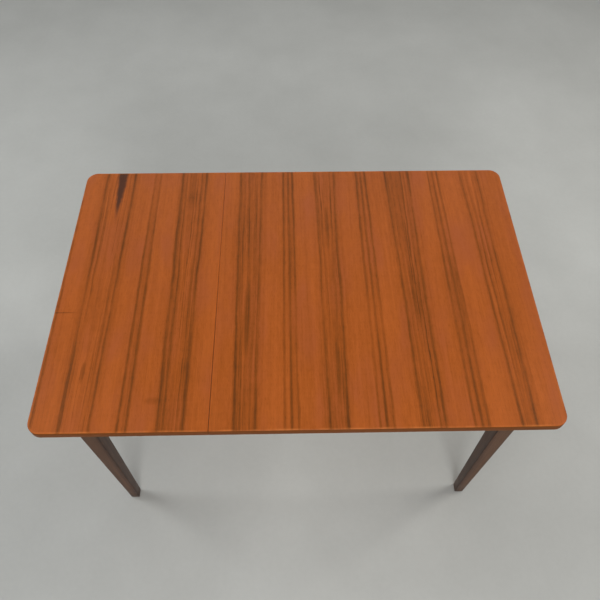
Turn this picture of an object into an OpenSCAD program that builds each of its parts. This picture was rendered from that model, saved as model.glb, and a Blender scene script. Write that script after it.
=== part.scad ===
// Extending dining table on four tapered legs.
// The top is in two sections. The longer one is fixed to the frame. The shorter one
// slides out at the left end on two tongued runners. The loose leaf that fills the gap
// lies on ledges under the fixed section and is drawn out at the right end.
// Millimetres. X runs along the table, Y from front to back, Z up from the floor.

/* [Top] */
// Length of the closed top
top_length = 1200; // [1100:10:1500]
// Width of the top, front to back
top_width = 800; // [770:10:960]
// Height of the top face above the floor
table_height = 750; // [600:5:900]
// Thickness of the top and of the leaf
top_thickness = 20; // [16:0.5:26]
// Corner radius of the top, seen from above
corner_radius = 30; // [12:1:60]
// Length of the sliding section and of the leaf
leaf_length = 400; // [320:10:430]
// Gap at the seam between the two sections
seam_gap = 0.8; // [0.4:0.1:2]
// Thickness of the face and backing veneers
veneer = 0.7; // [0.5:0.1:1.2]
// Width of the solid lippings round the board edges
lipping = 6; // [4:0.5:10]

/* [Legs] */
// Side of the square leg block at the frame
leg_top = 46; // [40:1:60]
// Side of the square foot
leg_foot = 26; // [20:1:40]
// Distance from the end of the top to the outer face of a leg
leg_inset_end = 47; // [20:1:120]
// Distance from the long side of the top to the outer face of a leg
leg_inset_side = 71; // [50:1:90]
// Chamfer on the inner corner of the leg block, where the bolt enters
leg_chamfer = 10; // [6:1:16]
// Diameter of the glide under each foot
glide_d = 18; // [12:1:22]
// Height of the glide
glide_h = 3; // [2:0.5:6]
// Diameter of the glide's nail
glide_nail_d = 3; // [2:0.5:5]
// Length of the glide's nail in the leg
glide_nail = 14; // [8:1:25]

/* [Frame] */
// Height of the aprons
apron_height = 75; // [62:0.5:120]
// Thickness of the aprons
apron_thickness = 20; // [16:1:24]
// Distance of the apron faces behind the leg faces
apron_setback = 4; // [0:0.5:6]
// Thickness of the corner braces
brace_thickness = 24; // [18:1:30]
// Gap between a corner brace and the inner corner of its leg
brace_gap = 12; // [8:1:20]
// Distance of the braces and cross rails above the lower edge of the aprons
brace_rise = 4; // [2:0.5:10]
// Thickness of the cross rails
rail_thickness = 25; // [18:1:35]
// Distance of the first cross rail from the seam
rail_offset = 10; // [5:1:30]

/* [Sliding section] */
// Running gap between the sliding section and the frame under it
slide_gap = 0.5; // [0.3:0.1:1.5]
// Running gap round the tongue of a runner and beside the runner
slide_clearance = 0.3; // [0.2:0.05:0.6]
// Width of a runner without its tongue
runner_width = 29.5; // [22:0.5:34]
// Height of a runner
runner_height = 22; // [20:1:26]
// Depth of the runner's tongue
tongue_depth = 7.5; // [5:0.5:10]
// Height of the runner's tongue
tongue_height = 7.4; // [5:0.2:9]
// Height of the tongue above the lower face of the runner
tongue_rise = 6.3; // [5:0.1:8]
// Gap between the tongue and the leg that it passes
tongue_leg_gap = 3; // [1:0.5:6]
// Room at the bottom of the guide's groove
groove_room = 0.5; // [0.3:0.1:1.5]
// How far a guide reaches below its runner
guide_drop = 4; // [2:0.5:8]
// Gap between the end of a guide and the leg
guide_end_gap = 2; // [0:0.5:10]
// How much further the section slides than the length of the leaf
extra_travel = 20; // [18:1:40]
// Gap under the end rail of the sliding section
end_rail_gap = 1; // [0.5:0.1:3]
// Gap between the ends of the end rail and the legs
end_rail_side_gap = 1; // [0.5:0.1:3]
// Gap between the runners and the lowered left apron
runner_apron_gap = 2; // [1:0.5:4]
// Gap between the runners and the first cross rail
runner_rail_gap = 5; // [4:0.5:8]
// Diameter of the stop peg under the inner end of a runner
peg_d = 12; // [8:1:16]
// Length of the peg below the runner
peg_drop = 13; // [8:1:16]
// Length of the peg in the runner
peg_seat = 14; // [8:1:16]
// Gap left between the peg and the cross rail at full travel
peg_gap = 1; // [0.5:0.1:3]
// Length of the runner beyond its peg
runner_tail = 25; // [15:1:50]

/* [Leaf storage] */
// Gap between the stored leaf and the fixed section above it
leaf_headroom = 4; // [2:0.5:6]
// Gap between the stored leaf and its ledges
leaf_seat_gap = 0.3; // [0.2:0.1:1]
// Gap between the sides of the stored leaf and its ledges
leaf_side_gap = 0.9; // [0.5:0.1:1.5]
// Gap between the stored leaf and the cross rail that it passes over
leaf_rail_gap = 3; // [1:0.5:6]
// Thickness of the upright part of a ledge
ledge_web = 13.5; // [12:0.5:15]
// How far a ledge reaches under the leaf
ledge_reach = 20; // [10:1:40]
// Thickness of the part of a ledge under the leaf
ledge_plate = 6; // [5:0.5:8]
// Gap between the slot in the right apron and the leaf
slot_gap = 1.5; // [1:0.5:4]
// How far the leaf stands out of the right apron, as a grip
leaf_grip = 27; // [15:1:40]

/* [Fasteners] */
// Diameter of the wood screws
screw_d = 4; // [3:0.5:5]
// Diameter of their countersunk heads
screw_head_d = 8; // [6:0.5:10]
// Length of screw in the second piece of wood
screw_bite = 12; // [8:0.5:14]
// Length of the pointed tip of a screw
screw_tip = 4; // [2:0.5:6]
// Gap between a screw or a fixed dowel and its hole
drill_fit = 0.1; // [0.05:0.05:0.2]
// Spacing limit of the screws along a guide or a ledge
screw_pitch = 180; // [120:10:260]
// Distance of the outer screws from the ends of a piece
screw_margin = 38; // [30:1:60]
// Diameter of the dowels
dowel_d = 8; // [6:0.5:10]
// Length of a locating dowel beyond the seam edge
dowel_out = 14; // [8:1:18]
// Length of a dowel in the piece that holds it
dowel_in = 22; // [15:1:30]
// Gap between a locating dowel and the hole that it slides into
dowel_slip = 0.3; // [0.2:0.05:0.5]
// Length of a rail dowel in the apron
rail_dowel_bite = 12; // [8:1:14]
// Distance of the fixed section's dowels from the middle of the seam
fixed_dowel_y = 310; // [220:5:330]
// Distance of the sliding section's dowels from the middle of the seam
sliding_dowel_y = 110; // [60:5:180]
// Diameter of the leg bolts
bolt_d = 8; // [6:1:10]
// Length of a leg bolt in its leg
bolt_bite = 32; // [25:1:36]
// Gap between a bolt and the corner brace
bolt_clearance = 0.5; // [0.3:0.1:1]
// Gap between a bolt and the thread of its nut
thread_fit = 0.15; // [0.1:0.05:0.3]
// Diameter of the washers
washer_d = 20; // [16:1:24]
// Thickness of the washers
washer_t = 1.6; // [1:0.2:3]
// Diameter of the wing nut's body
nut_d = 14; // [12:1:18]
// Height of the wing nut's body
nut_h = 8; // [6:0.5:12]
// Radius of a wing
wing_r = 7; // [5:0.5:9]
// Thickness of a wing
wing_t = 2.5; // [2:0.5:4]
// Length of bolt beyond the nut
bolt_end = 6; // [2:1:12]

/* [Colours] */
// Teak face veneer
teak = "#a85727";
// Solid teak lippings
teak_edge = "#b4662f";
// Plain backing veneer
backing = "#a97a4d";
// Blockboard core
core_wood = "#c9a878";
// Dark legs and aprons
dark_wood = "#5a4238";
// Beech runners, guides and blocks
beech = "#c79a68";
// Zinc plated screws, bolts and nuts
zinc = "#a9adb0";
// Glides
glide_steel = "#7f8285";

/* [Hidden] */
$fn = 48;

// Overlap of cutters beyond the faces that they cut
past = 1;
half_l = top_length / 2;
half_w = top_width / 2;
under_z = table_height - top_thickness;
core_h = top_thickness - 2 * veneer;
mid_z = table_height - top_thickness / 2;
seam_x = leaf_length - half_l;
fixed_len = top_length - leaf_length - seam_gap / 2;
sliding_len = leaf_length - seam_gap / 2;
travel = leaf_length + extra_travel;

leg_cx = half_l - leg_inset_end - leg_top / 2;
leg_cy = half_w - leg_inset_side - leg_top / 2;
leg_in_x = leg_cx - leg_top / 2;
leg_in_y = leg_cy - leg_top / 2;

apron_top_z = under_z - slide_gap;
apron_low_z = apron_top_z - apron_height;
apron_out_x = leg_cx + leg_top / 2 - apron_setback;
apron_in_x = apron_out_x - apron_thickness;
apron_out_y = leg_cy + leg_top / 2 - apron_setback;
apron_in_y = apron_out_y - apron_thickness;

runner_z = under_z - runner_height;
runner_tip_y = leg_in_y - tongue_leg_gap;
runner_out_y = runner_tip_y - tongue_depth;
runner_in_y = runner_out_y - runner_width;
guide_in_y = runner_out_y + slide_clearance;
guide_z = runner_z - guide_drop;
guide_end_x = leg_in_x - guide_end_gap;
left_apron_top_z = runner_z - runner_apron_gap;

leaf_z = under_z - leaf_headroom - top_thickness;
ledge_z = leaf_z - leaf_seat_gap - ledge_plate;

brace_z = apron_low_z + brace_rise;
brace_h = min(guide_z, ledge_z) - brace_rise - brace_z;
brace_mid_z = brace_z + brace_h / 2;
brace_near = 2 * (apron_in_x - leg_in_x) + brace_gap * sqrt(2);
brace_far = brace_near + brace_thickness * sqrt(2);
brace_mid = (brace_near + brace_far) / 2;
brace_head = (brace_far - brace_mid) * 0.7;
screw_head_h = (screw_head_d - screw_d) / 2;

rail_x = seam_x + rail_offset;
rail_end_x = rail_x + rail_thickness;
rail_top_z = min(runner_z - runner_rail_gap, leaf_z - leaf_rail_gap);
peg_x = rail_end_x + travel + peg_d / 2 + peg_gap;
peg_y = (runner_in_y + runner_out_y) / 2;
runner_end_x = peg_x + runner_tail;
leaf_rail_x = (rail_end_x + apron_in_x) / 2;
leaf_rail_top_z = min(runner_z - peg_drop, ledge_z) - runner_apron_gap;

leaf_w = leaf_length - seam_gap;
leaf_x1 = apron_out_x + leaf_grip;
leaf_x0 = leaf_x1 - top_width;
ledge_in_y = leaf_w / 2 + leaf_side_gap;
ledge_out_y = ledge_in_y + ledge_web;
ledge_x = rail_end_x + rail_offset;

bolt_start = leg_chamfer / sqrt(2) + bolt_bite;
bolt_stop = brace_gap + brace_thickness + washer_t + nut_h + bolt_end;

// Positions spread evenly from a to b, no further apart than the pitch
function spread(a, b, pitch) =
    let (n = max(1, ceil((b - a) / pitch)))
    [for (i = [0 : n]) a + (b - a) * i / n];

// Box from one corner to the opposite one
module box(a, b) {
    translate([min(a.x, b.x), min(a.y, b.y), min(a.z, b.z)])
        cube([abs(b.x - a.x), abs(b.y - a.y), abs(b.z - a.z)]);
}

// Countersunk wood screw, head at the origin, pointing up Z
module screw(len) {
    cylinder(h = screw_head_h, d1 = screw_head_d, d2 = screw_d);
    cylinder(h = len - screw_tip, d = screw_d);
    translate([0, 0, len - screw_tip])
        cylinder(h = screw_tip, d1 = screw_d, d2 = screw_d / 4);
}

// Hole for a screw, with room for the driver before its head
module screw_hole(len, access = past) {
    grow = 2 * drill_fit;
    translate([0, 0, -access])
        cylinder(h = access, d = screw_head_d + grow);
    cylinder(h = screw_head_h, d1 = screw_head_d + grow, d2 = screw_d + grow);
    cylinder(h = len + drill_fit, d = screw_d + grow);
}

// Outline with its straight side on x = 0 and round corners at x = len
module section_outline(len, width, r) {
    translate([0, -width / 2])
        square([len - r, width]);
    translate([0, r - width / 2])
        square([len, width - 2 * r]);
    for (s = [-1, 1])
        translate([len - r, s * (width / 2 - r)])
            circle(r);
}

// Moves a section drawn from its seam edge to its place in the top
module fixed_place() {
    translate([seam_x + seam_gap / 2, 0, 0])
        children();
}

module sliding_place() {
    translate([seam_x - seam_gap / 2, 0, 0])
        mirror([1, 0, 0])
            children();
}

// Layers of a top section, drawn from the seam edge
module section_veneer(len, z) {
    translate([0, 0, z])
        linear_extrude(veneer)
            section_outline(len, top_width, corner_radius);
}

module section_core(len) {
    inner_r = corner_radius - lipping;
    translate([lipping, 0, under_z + veneer])
        linear_extrude(core_h)
            section_outline(len - 2 * lipping, top_width - 2 * lipping, inner_r);
}

module section_edge(len) {
    inner_r = corner_radius - lipping;
    translate([0, 0, under_z + veneer])
        linear_extrude(core_h)
            difference() {
                section_outline(len, top_width, corner_radius);
                translate([-past, 0])
                    section_outline(len - lipping + past, top_width - 2 * lipping, inner_r);
            }
}

module section_seam() {
    w = half_w - lipping;
    box([0, -w, under_z + veneer], [lipping, w, table_height - veneer]);
}

// Bores along the seam, drawn from the seam edge into the section
module seam_bores(y, d, depth) {
    for (s = [-1, 1])
        translate([-past, s * y, mid_z])
            rotate([0, 90, 0])
                cylinder(h = depth + past, d = d);
}

module fixed_bores() {
    seam_bores(fixed_dowel_y, dowel_d + 2 * drill_fit, dowel_in + drill_fit);
    seam_bores(sliding_dowel_y, dowel_d + 2 * dowel_slip, dowel_out + past);
}

module sliding_bores() {
    seam_bores(sliding_dowel_y, dowel_d + 2 * drill_fit, dowel_in + drill_fit);
    seam_bores(fixed_dowel_y, dowel_d + 2 * dowel_slip, dowel_out + past);
}

module seam_dowels(y) {
    for (s = [-1, 1])
        translate([-dowel_out, s * y, mid_z])
            rotate([0, 90, 0])
                cylinder(h = dowel_out + dowel_in, d = dowel_d);
}

// Places of the screws, head towards the open side
module at_guide_screws(side) {
    z = guide_z + (runner_z + tongue_rise - slide_clearance - guide_z) / 2;
    for (x = guide_screw_x)
        translate([x, side * guide_in_y, z])
            rotate([-side * 90, 0, 0])
                children();
}

module at_top_screws(side) {
    for (x = top_screw_x)
        translate([x, side * (runner_tip_y + apron_in_y) / 2, guide_z])
            children();
}

module at_runner_screws(side) {
    for (x = spread(screw_margin - apron_in_x, seam_x - screw_margin, screw_pitch))
        translate([x, side * peg_y, runner_z])
            children();
}

module at_ledge_screws(side) {
    for (x = spread(ledge_x + screw_margin, apron_in_x - screw_margin, screw_pitch))
        translate([x, side * (ledge_in_y + ledge_out_y) / 2, ledge_z])
            children();
}

module at_end_rail_screws() {
    reach = leg_in_y - end_rail_side_gap - screw_margin;
    for (y = spread(-reach, reach, screw_pitch))
        translate([-(apron_in_x + apron_out_x) / 2, y, left_apron_top_z + end_rail_gap])
            children();
}

module at_brace_screws(sx, sy) {
    for (s = [-1, 1]) {
        z = brace_mid_z + s * brace_h / 4;
        translate([sx * (apron_in_x - brace_mid), sy * (apron_in_y - brace_head), z])
            rotate([-sy * 90, 0, 0])
                children();
        translate([sx * (apron_in_x - brace_head), sy * (apron_in_y - brace_mid), z])
            rotate([0, sx * 90, 0])
                children();
    }
}

// The screws up into the top stand midway between those through the guide
guide_screw_x = spread(screw_margin - guide_end_x, guide_end_x - screw_margin, screw_pitch);
top_screw_x = [
    for (i = [1 : len(guide_screw_x) - 1])
        let (x = (guide_screw_x[i - 1] + guide_screw_x[i]) / 2)
        if (x > rail_x + screw_head_d) x
];
guide_screw_len = apron_in_y - guide_in_y + screw_bite;
top_screw_len = under_z - guide_z + screw_bite;
runner_screw_len = runner_height + screw_bite;
ledge_screw_len = under_z - ledge_z + screw_bite;
end_rail_screw_len = under_z - left_apron_top_z - end_rail_gap + screw_bite;
brace_screw_len = brace_head + screw_bite;

// Places of the dowels that join a cross rail to the front and back aprons
module at_rail_dowels(side) {
    for (rail = [[rail_x, rail_top_z], [leaf_rail_x, leaf_rail_top_z]])
        for (s = [-1, 1])
            translate([
                rail[0] + rail_thickness / 2,
                side * (apron_in_y - dowel_in),
                (rail[1] + brace_z) / 2 + s * (rail[1] - brace_z) / 4
            ])
                rotate([-side * 90, 0, 0])
                    children();
}

module rail_dowel(grow) {
    translate([0, 0, -grow])
        cylinder(h = dowel_in + rail_dowel_bite + 2 * grow, d = dowel_d + 2 * grow);
}

// Moves to a leg's inner corner, with X pointing to the middle of the table
module at_leg_corner(sx, sy) {
    translate([sx * leg_in_x, sy * leg_in_y, brace_mid_z])
        rotate([0, 0, atan2(-sy, -sx)])
            rotate([0, 90, 0])
                children();
}

module each_corner() {
    for (sx = [-1, 1])
        for (sy = [-1, 1])
            at_leg_corner(sx, sy)
                children();
}

// Fixed section of the top
module fixed_top_core() {
    color(core_wood)
        difference() {
            fixed_place()
                section_core(fixed_len);
            fixed_place()
                fixed_bores();
            for (side = [-1, 1]) {
                at_top_screws(side)
                    screw_hole(top_screw_len);
                at_ledge_screws(side)
                    screw_hole(ledge_screw_len);
            }
        }
}

module fixed_top_face_veneer() {
    color(teak)
        fixed_place()
            section_veneer(fixed_len, table_height - veneer);
}

module fixed_top_backing_veneer() {
    color(backing)
        difference() {
            fixed_place()
                section_veneer(fixed_len, under_z);
            for (side = [-1, 1]) {
                at_top_screws(side)
                    screw_hole(top_screw_len);
                at_ledge_screws(side)
                    screw_hole(ledge_screw_len);
            }
        }
}

module fixed_top_edge_lipping() {
    color(teak_edge)
        fixed_place()
            section_edge(fixed_len);
}

module fixed_top_seam_lipping() {
    color(teak_edge)
        fixed_place()
            difference() {
                section_seam();
                fixed_bores();
            }
}

module fixed_seam_dowels() {
    color(beech)
        fixed_place()
            seam_dowels(fixed_dowel_y);
}

// Sliding section of the top
module sliding_top_core() {
    color(core_wood)
        difference() {
            sliding_place()
                section_core(sliding_len);
            sliding_place()
                sliding_bores();
            for (side = [-1, 1])
                at_runner_screws(side)
                    screw_hole(runner_screw_len);
            at_end_rail_screws()
                screw_hole(end_rail_screw_len);
        }
}

module sliding_top_face_veneer() {
    color(teak)
        sliding_place()
            section_veneer(sliding_len, table_height - veneer);
}

module sliding_top_backing_veneer() {
    color(backing)
        difference() {
            sliding_place()
                section_veneer(sliding_len, under_z);
            for (side = [-1, 1])
                at_runner_screws(side)
                    screw_hole(runner_screw_len);
            at_end_rail_screws()
                screw_hole(end_rail_screw_len);
        }
}

module sliding_top_edge_lipping() {
    color(teak_edge)
        sliding_place()
            section_edge(sliding_len);
}

module sliding_top_seam_lipping() {
    color(teak_edge)
        sliding_place()
            difference() {
                section_seam();
                sliding_bores();
            }
}

module sliding_seam_dowels() {
    color(beech)
        sliding_place()
            seam_dowels(sliding_dowel_y);
}

// Loose leaf, stored with its length along the table
module leaf_bores() {
    mid_x = (leaf_x0 + leaf_x1) / 2;
    z = leaf_z + top_thickness / 2;
    for (s = [-1, 1]) {
        translate([mid_x + s * sliding_dowel_y, -leaf_w / 2 - past, z])
            rotate([-90, 0, 0])
                cylinder(h = dowel_out + 2 * past, d = dowel_d + 2 * dowel_slip);
        translate([mid_x + s * fixed_dowel_y, leaf_w / 2 + past, z])
            rotate([90, 0, 0])
                cylinder(h = dowel_out + 2 * past, d = dowel_d + 2 * dowel_slip);
    }
}

module leaf_layer(inset_x, inset_y, z, h) {
    box(
        [leaf_x0 + inset_x, inset_y - leaf_w / 2, z],
        [leaf_x1 - inset_x, leaf_w / 2 - inset_y, z + h]
    );
}

module leaf_core() {
    color(core_wood)
        difference() {
            leaf_layer(lipping, lipping, leaf_z + veneer, core_h);
            leaf_bores();
        }
}

module leaf_face_veneer() {
    color(teak)
        leaf_layer(0, 0, leaf_z + top_thickness - veneer, veneer);
}

module leaf_backing_veneer() {
    color(backing)
        leaf_layer(0, 0, leaf_z, veneer);
}

module leaf_end_lippings() {
    color(teak_edge)
        for (x = [leaf_x0, leaf_x1 - lipping])
            box(
                [x, -leaf_w / 2, leaf_z + veneer],
                [x + lipping, leaf_w / 2, leaf_z + veneer + core_h]
            );
}

module leaf_seam_lippings() {
    color(teak_edge)
        difference() {
            for (y = [-leaf_w / 2, leaf_w / 2 - lipping])
                box(
                    [leaf_x0 + lipping, y, leaf_z + veneer],
                    [leaf_x1 - lipping, y + lipping, leaf_z + veneer + core_h]
                );
            leaf_bores();
        }
}

// Legs: a straight block at the frame and a taper on all four sides below it
module leg(sx, sy) {
    color(dark_wood)
        difference() {
            translate([sx * leg_cx, sy * leg_cy, 0])
                hull() {
                    translate([-leg_top / 2, -leg_top / 2, apron_low_z])
                        cube([leg_top, leg_top, apron_height]);
                    translate([-leg_foot / 2, -leg_foot / 2, glide_h])
                        cube([leg_foot, leg_foot, past]);
                }
            translate([sx * leg_in_x, sy * leg_in_y, apron_low_z])
                rotate([0, 0, 45])
                    translate([-leg_chamfer / sqrt(2), -leg_chamfer / sqrt(2), 0])
                        cube([leg_chamfer * sqrt(2), leg_chamfer * sqrt(2), apron_height + past]);
            at_leg_corner(sx, sy)
                translate([0, 0, -bolt_start - drill_fit])
                    cylinder(h = bolt_start + past, d = bolt_d + 2 * drill_fit);
            translate([sx * leg_cx, sy * leg_cy, 0])
                cylinder(h = glide_h + glide_nail + drill_fit, d = glide_nail_d + 2 * drill_fit);
        }
}

module leg_front_left() {
    leg(-1, -1);
}

module leg_front_right() {
    leg(1, -1);
}

module leg_back_left() {
    leg(-1, 1);
}

module leg_back_right() {
    leg(1, 1);
}

module foot_glides() {
    color(glide_steel)
        for (sx = [-1, 1])
            for (sy = [-1, 1])
                translate([sx * leg_cx, sy * leg_cy, 0]) {
                    cylinder(h = glide_h, d = glide_d);
                    cylinder(h = glide_h + glide_nail, d = glide_nail_d);
                }
}

// Frame
module side_apron(side) {
    color(dark_wood)
        difference() {
            box(
                [-leg_in_x, side * apron_in_y, apron_low_z],
                [leg_in_x, side * apron_out_y, apron_top_z]
            );
            at_guide_screws(side)
                screw_hole(guide_screw_len);
            for (sx = [-1, 1])
                at_brace_screws(sx, side)
                    screw_hole(brace_screw_len);
            at_rail_dowels(side)
                rail_dowel(drill_fit);
        }
}

module apron_front() {
    side_apron(-1);
}

module apron_back() {
    side_apron(1);
}

module apron_left() {
    color(dark_wood)
        difference() {
            box(
                [-apron_out_x, -leg_in_y, apron_low_z],
                [-apron_in_x, leg_in_y, left_apron_top_z]
            );
            for (sy = [-1, 1])
                at_brace_screws(-1, sy)
                    screw_hole(brace_screw_len);
        }
}

module apron_right() {
    slot_y = leaf_w / 2 + slot_gap;
    color(dark_wood)
        difference() {
            box(
                [apron_in_x, -leg_in_y, apron_low_z],
                [apron_out_x, leg_in_y, apron_top_z]
            );
            box(
                [apron_in_x - past, -slot_y, leaf_z - slot_gap],
                [apron_out_x + past, slot_y, apron_top_z + past]
            );
            for (sy = [-1, 1])
                at_brace_screws(1, sy)
                    screw_hole(brace_screw_len);
        }
}

module brace(sx, sy) {
    color(beech)
        difference() {
            translate([sx * apron_in_x, sy * apron_in_y, brace_z])
                linear_extrude(brace_h)
                    polygon([
                        [-sx * brace_near, 0],
                        [-sx * brace_far, 0],
                        [0, -sy * brace_far],
                        [0, -sy * brace_near]
                    ]);
            at_brace_screws(sx, sy)
                screw_hole(brace_screw_len, brace_far);
            at_leg_corner(sx, sy)
                cylinder(h = bolt_stop, d = bolt_d + 2 * bolt_clearance);
        }
}

module brace_front_left() {
    brace(-1, -1);
}

module brace_front_right() {
    brace(1, -1);
}

module brace_back_left() {
    brace(-1, 1);
}

module brace_back_right() {
    brace(1, 1);
}

module leg_bolts() {
    color(zinc)
        each_corner()
            translate([0, 0, -bolt_start])
                cylinder(h = bolt_start + bolt_stop, d = bolt_d);
}

module bolt_washers() {
    color(zinc)
        each_corner()
            translate([0, 0, brace_gap + brace_thickness])
                difference() {
                    cylinder(h = washer_t, d = washer_d);
                    translate([0, 0, -past])
                        cylinder(h = washer_t + 2 * past, d = bolt_d + 2 * bolt_clearance);
                }
}

module wing_nuts() {
    color(zinc)
        each_corner()
            translate([0, 0, brace_gap + brace_thickness + washer_t])
                difference() {
                    union() {
                        cylinder(h = nut_h, d = nut_d);
                        for (s = [-1, 1])
                            translate([0, s * (nut_d / 2 + wing_r / 2), nut_h])
                                rotate([0, 90, 0])
                                    cylinder(h = wing_t, r = wing_r, center = true);
                    }
                    translate([0, 0, -past])
                        cylinder(h = nut_h + 2 * wing_r, d = bolt_d + 2 * thread_fit);
                }
}

module brace_screws() {
    color(zinc)
        for (sx = [-1, 1])
            for (sy = [-1, 1])
                at_brace_screws(sx, sy)
                    screw(brace_screw_len);
}

module cross_rail(x, top_z) {
    color(beech)
        difference() {
            box([x, -apron_in_y, brace_z], [x + rail_thickness, apron_in_y, top_z]);
            for (side = [-1, 1])
                at_rail_dowels(side)
                    rail_dowel(drill_fit);
        }
}

module cross_rail_seam() {
    cross_rail(rail_x, rail_top_z);
}

module cross_rail_leaf() {
    cross_rail(leaf_rail_x, leaf_rail_top_z);
}

module rail_dowels() {
    color(beech)
        for (side = [-1, 1])
            at_rail_dowels(side)
                rail_dowel(0);
}

// Grooved guides for the runners, which also carry the fixed section
module guide(side) {
    groove_z = runner_z + tongue_rise - slide_clearance;
    color(beech)
        difference() {
            box(
                [-guide_end_x, side * guide_in_y, guide_z],
                [guide_end_x, side * apron_in_y, under_z]
            );
            box(
                [-guide_end_x - past, side * (guide_in_y - past), groove_z],
                [
                    guide_end_x + past,
                    side * (runner_tip_y + groove_room),
                    groove_z + tongue_height + 2 * slide_clearance
                ]
            );
            box(
                [-guide_end_x - past, side * (guide_in_y - past), apron_top_z],
                [seam_x + rail_offset, side * (apron_in_y + past), under_z + past]
            );
            at_guide_screws(side)
                screw_hole(guide_screw_len);
            at_top_screws(side)
                screw_hole(top_screw_len);
        }
}

module guide_front() {
    guide(-1);
}

module guide_back() {
    guide(1);
}

module guide_screws() {
    color(zinc)
        for (side = [-1, 1])
            at_guide_screws(side)
                screw(guide_screw_len);
}

module top_screws() {
    color(zinc)
        for (side = [-1, 1])
            at_top_screws(side)
                screw(top_screw_len);
}

// Runners of the sliding section, planed back where they pass under the fixed one
module runner(side) {
    color(beech)
        difference() {
            union() {
                box(
                    [-apron_in_x, side * runner_in_y, runner_z],
                    [runner_end_x, side * runner_out_y, under_z]
                );
                box(
                    [-apron_in_x, side * (runner_out_y - past), runner_z + tongue_rise],
                    [runner_end_x, side * runner_tip_y, runner_z + tongue_rise + tongue_height]
                );
            }
            box(
                [seam_x - rail_offset, side * (runner_in_y - past), apron_top_z],
                [runner_end_x + past, side * (runner_out_y + past), under_z + past]
            );
            at_runner_screws(side)
                screw_hole(runner_screw_len);
            translate([peg_x, side * peg_y, runner_z - past])
                cylinder(h = peg_seat + drill_fit + past, d = peg_d + 2 * drill_fit);
        }
}

module runner_front() {
    runner(-1);
}

module runner_back() {
    runner(1);
}

module runner_screws() {
    color(zinc)
        for (side = [-1, 1])
            at_runner_screws(side)
                screw(runner_screw_len);
}

module stop_pegs() {
    color(beech)
        for (side = [-1, 1])
            translate([peg_x, side * peg_y, runner_z - peg_drop])
                cylinder(h = peg_drop + peg_seat, d = peg_d);
}

module sliding_end_rail() {
    reach = leg_in_y - end_rail_side_gap;
    color(dark_wood)
        difference() {
            box(
                [-apron_out_x, -reach, left_apron_top_z + end_rail_gap],
                [-apron_in_x, reach, under_z]
            );
            at_end_rail_screws()
                screw_hole(end_rail_screw_len);
        }
}

module end_rail_screws() {
    color(zinc)
        at_end_rail_screws()
            screw(end_rail_screw_len);
}

// Ledges that hold the stored leaf under the fixed section
module ledge(side) {
    color(beech)
        difference() {
            box(
                [ledge_x, side * (leaf_w / 2 - ledge_reach), ledge_z],
                [apron_in_x, side * ledge_out_y, under_z]
            );
            box(
                [ledge_x - past, side * (leaf_w / 2 - ledge_reach - past), ledge_z + ledge_plate],
                [apron_in_x + past, side * ledge_in_y, under_z + past]
            );
            at_ledge_screws(side)
                screw_hole(ledge_screw_len);
        }
}

module ledge_front() {
    ledge(-1);
}

module ledge_back() {
    ledge(1);
}

module ledge_screws() {
    color(zinc)
        for (side = [-1, 1])
            at_ledge_screws(side)
                screw(ledge_screw_len);
}

fixed_top_core();
fixed_top_face_veneer();
fixed_top_backing_veneer();
fixed_top_edge_lipping();
fixed_top_seam_lipping();
sliding_top_core();
sliding_top_face_veneer();
sliding_top_backing_veneer();
sliding_top_edge_lipping();
sliding_top_seam_lipping();
leaf_core();
leaf_face_veneer();
leaf_backing_veneer();
leaf_end_lippings();
leaf_seam_lippings();
leg_front_left();
leg_front_right();
leg_back_left();
leg_back_right();
foot_glides();
apron_front();
apron_back();
apron_left();
apron_right();
brace_front_left();
brace_front_right();
brace_back_left();
brace_back_right();
leg_bolts();
bolt_washers();
wing_nuts();
brace_screws();
cross_rail_seam();
cross_rail_leaf();
rail_dowels();
guide_front();
guide_back();
guide_screws();
top_screws();
runner_front();
runner_back();
runner_screws();
stop_pegs();
sliding_end_rail();
end_rail_screws();
ledge_front();
ledge_back();
ledge_screws();
fixed_seam_dowels();
sliding_seam_dowels();
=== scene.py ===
import logging
import math
from dataclasses import dataclass, field
from enum import Enum
from typing import Callable, Mapping, Sequence

import bmesh
import bpy
import numpy as np
from mathutils import Matrix, Vector


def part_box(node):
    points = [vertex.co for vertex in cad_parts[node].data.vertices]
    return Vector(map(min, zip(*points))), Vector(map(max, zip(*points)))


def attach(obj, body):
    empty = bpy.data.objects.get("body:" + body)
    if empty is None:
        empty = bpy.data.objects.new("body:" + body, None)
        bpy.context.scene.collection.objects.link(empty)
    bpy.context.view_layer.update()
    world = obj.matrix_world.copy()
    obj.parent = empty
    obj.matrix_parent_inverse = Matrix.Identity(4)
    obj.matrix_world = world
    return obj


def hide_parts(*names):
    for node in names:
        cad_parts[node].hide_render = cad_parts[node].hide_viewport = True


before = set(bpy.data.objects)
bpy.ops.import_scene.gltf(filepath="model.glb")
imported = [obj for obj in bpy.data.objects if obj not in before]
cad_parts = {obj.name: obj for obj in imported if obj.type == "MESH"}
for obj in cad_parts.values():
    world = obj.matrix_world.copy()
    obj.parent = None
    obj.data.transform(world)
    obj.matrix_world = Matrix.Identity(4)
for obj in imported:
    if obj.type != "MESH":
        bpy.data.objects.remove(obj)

LOG = logging.getLogger("table")
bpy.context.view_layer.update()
MM = 0.001
FRAME_BODY = "frame"
SLIDING_BODY = "sliding_section"
LEAF_BODY = "leaf"
CORNERS = ((1, 1), (-1, 1), (-1, -1), (1, -1))

Colour = tuple[float, float, float, float]
Point2 = tuple[float, float]
Path = Callable[[float], list[Point2]]


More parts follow.
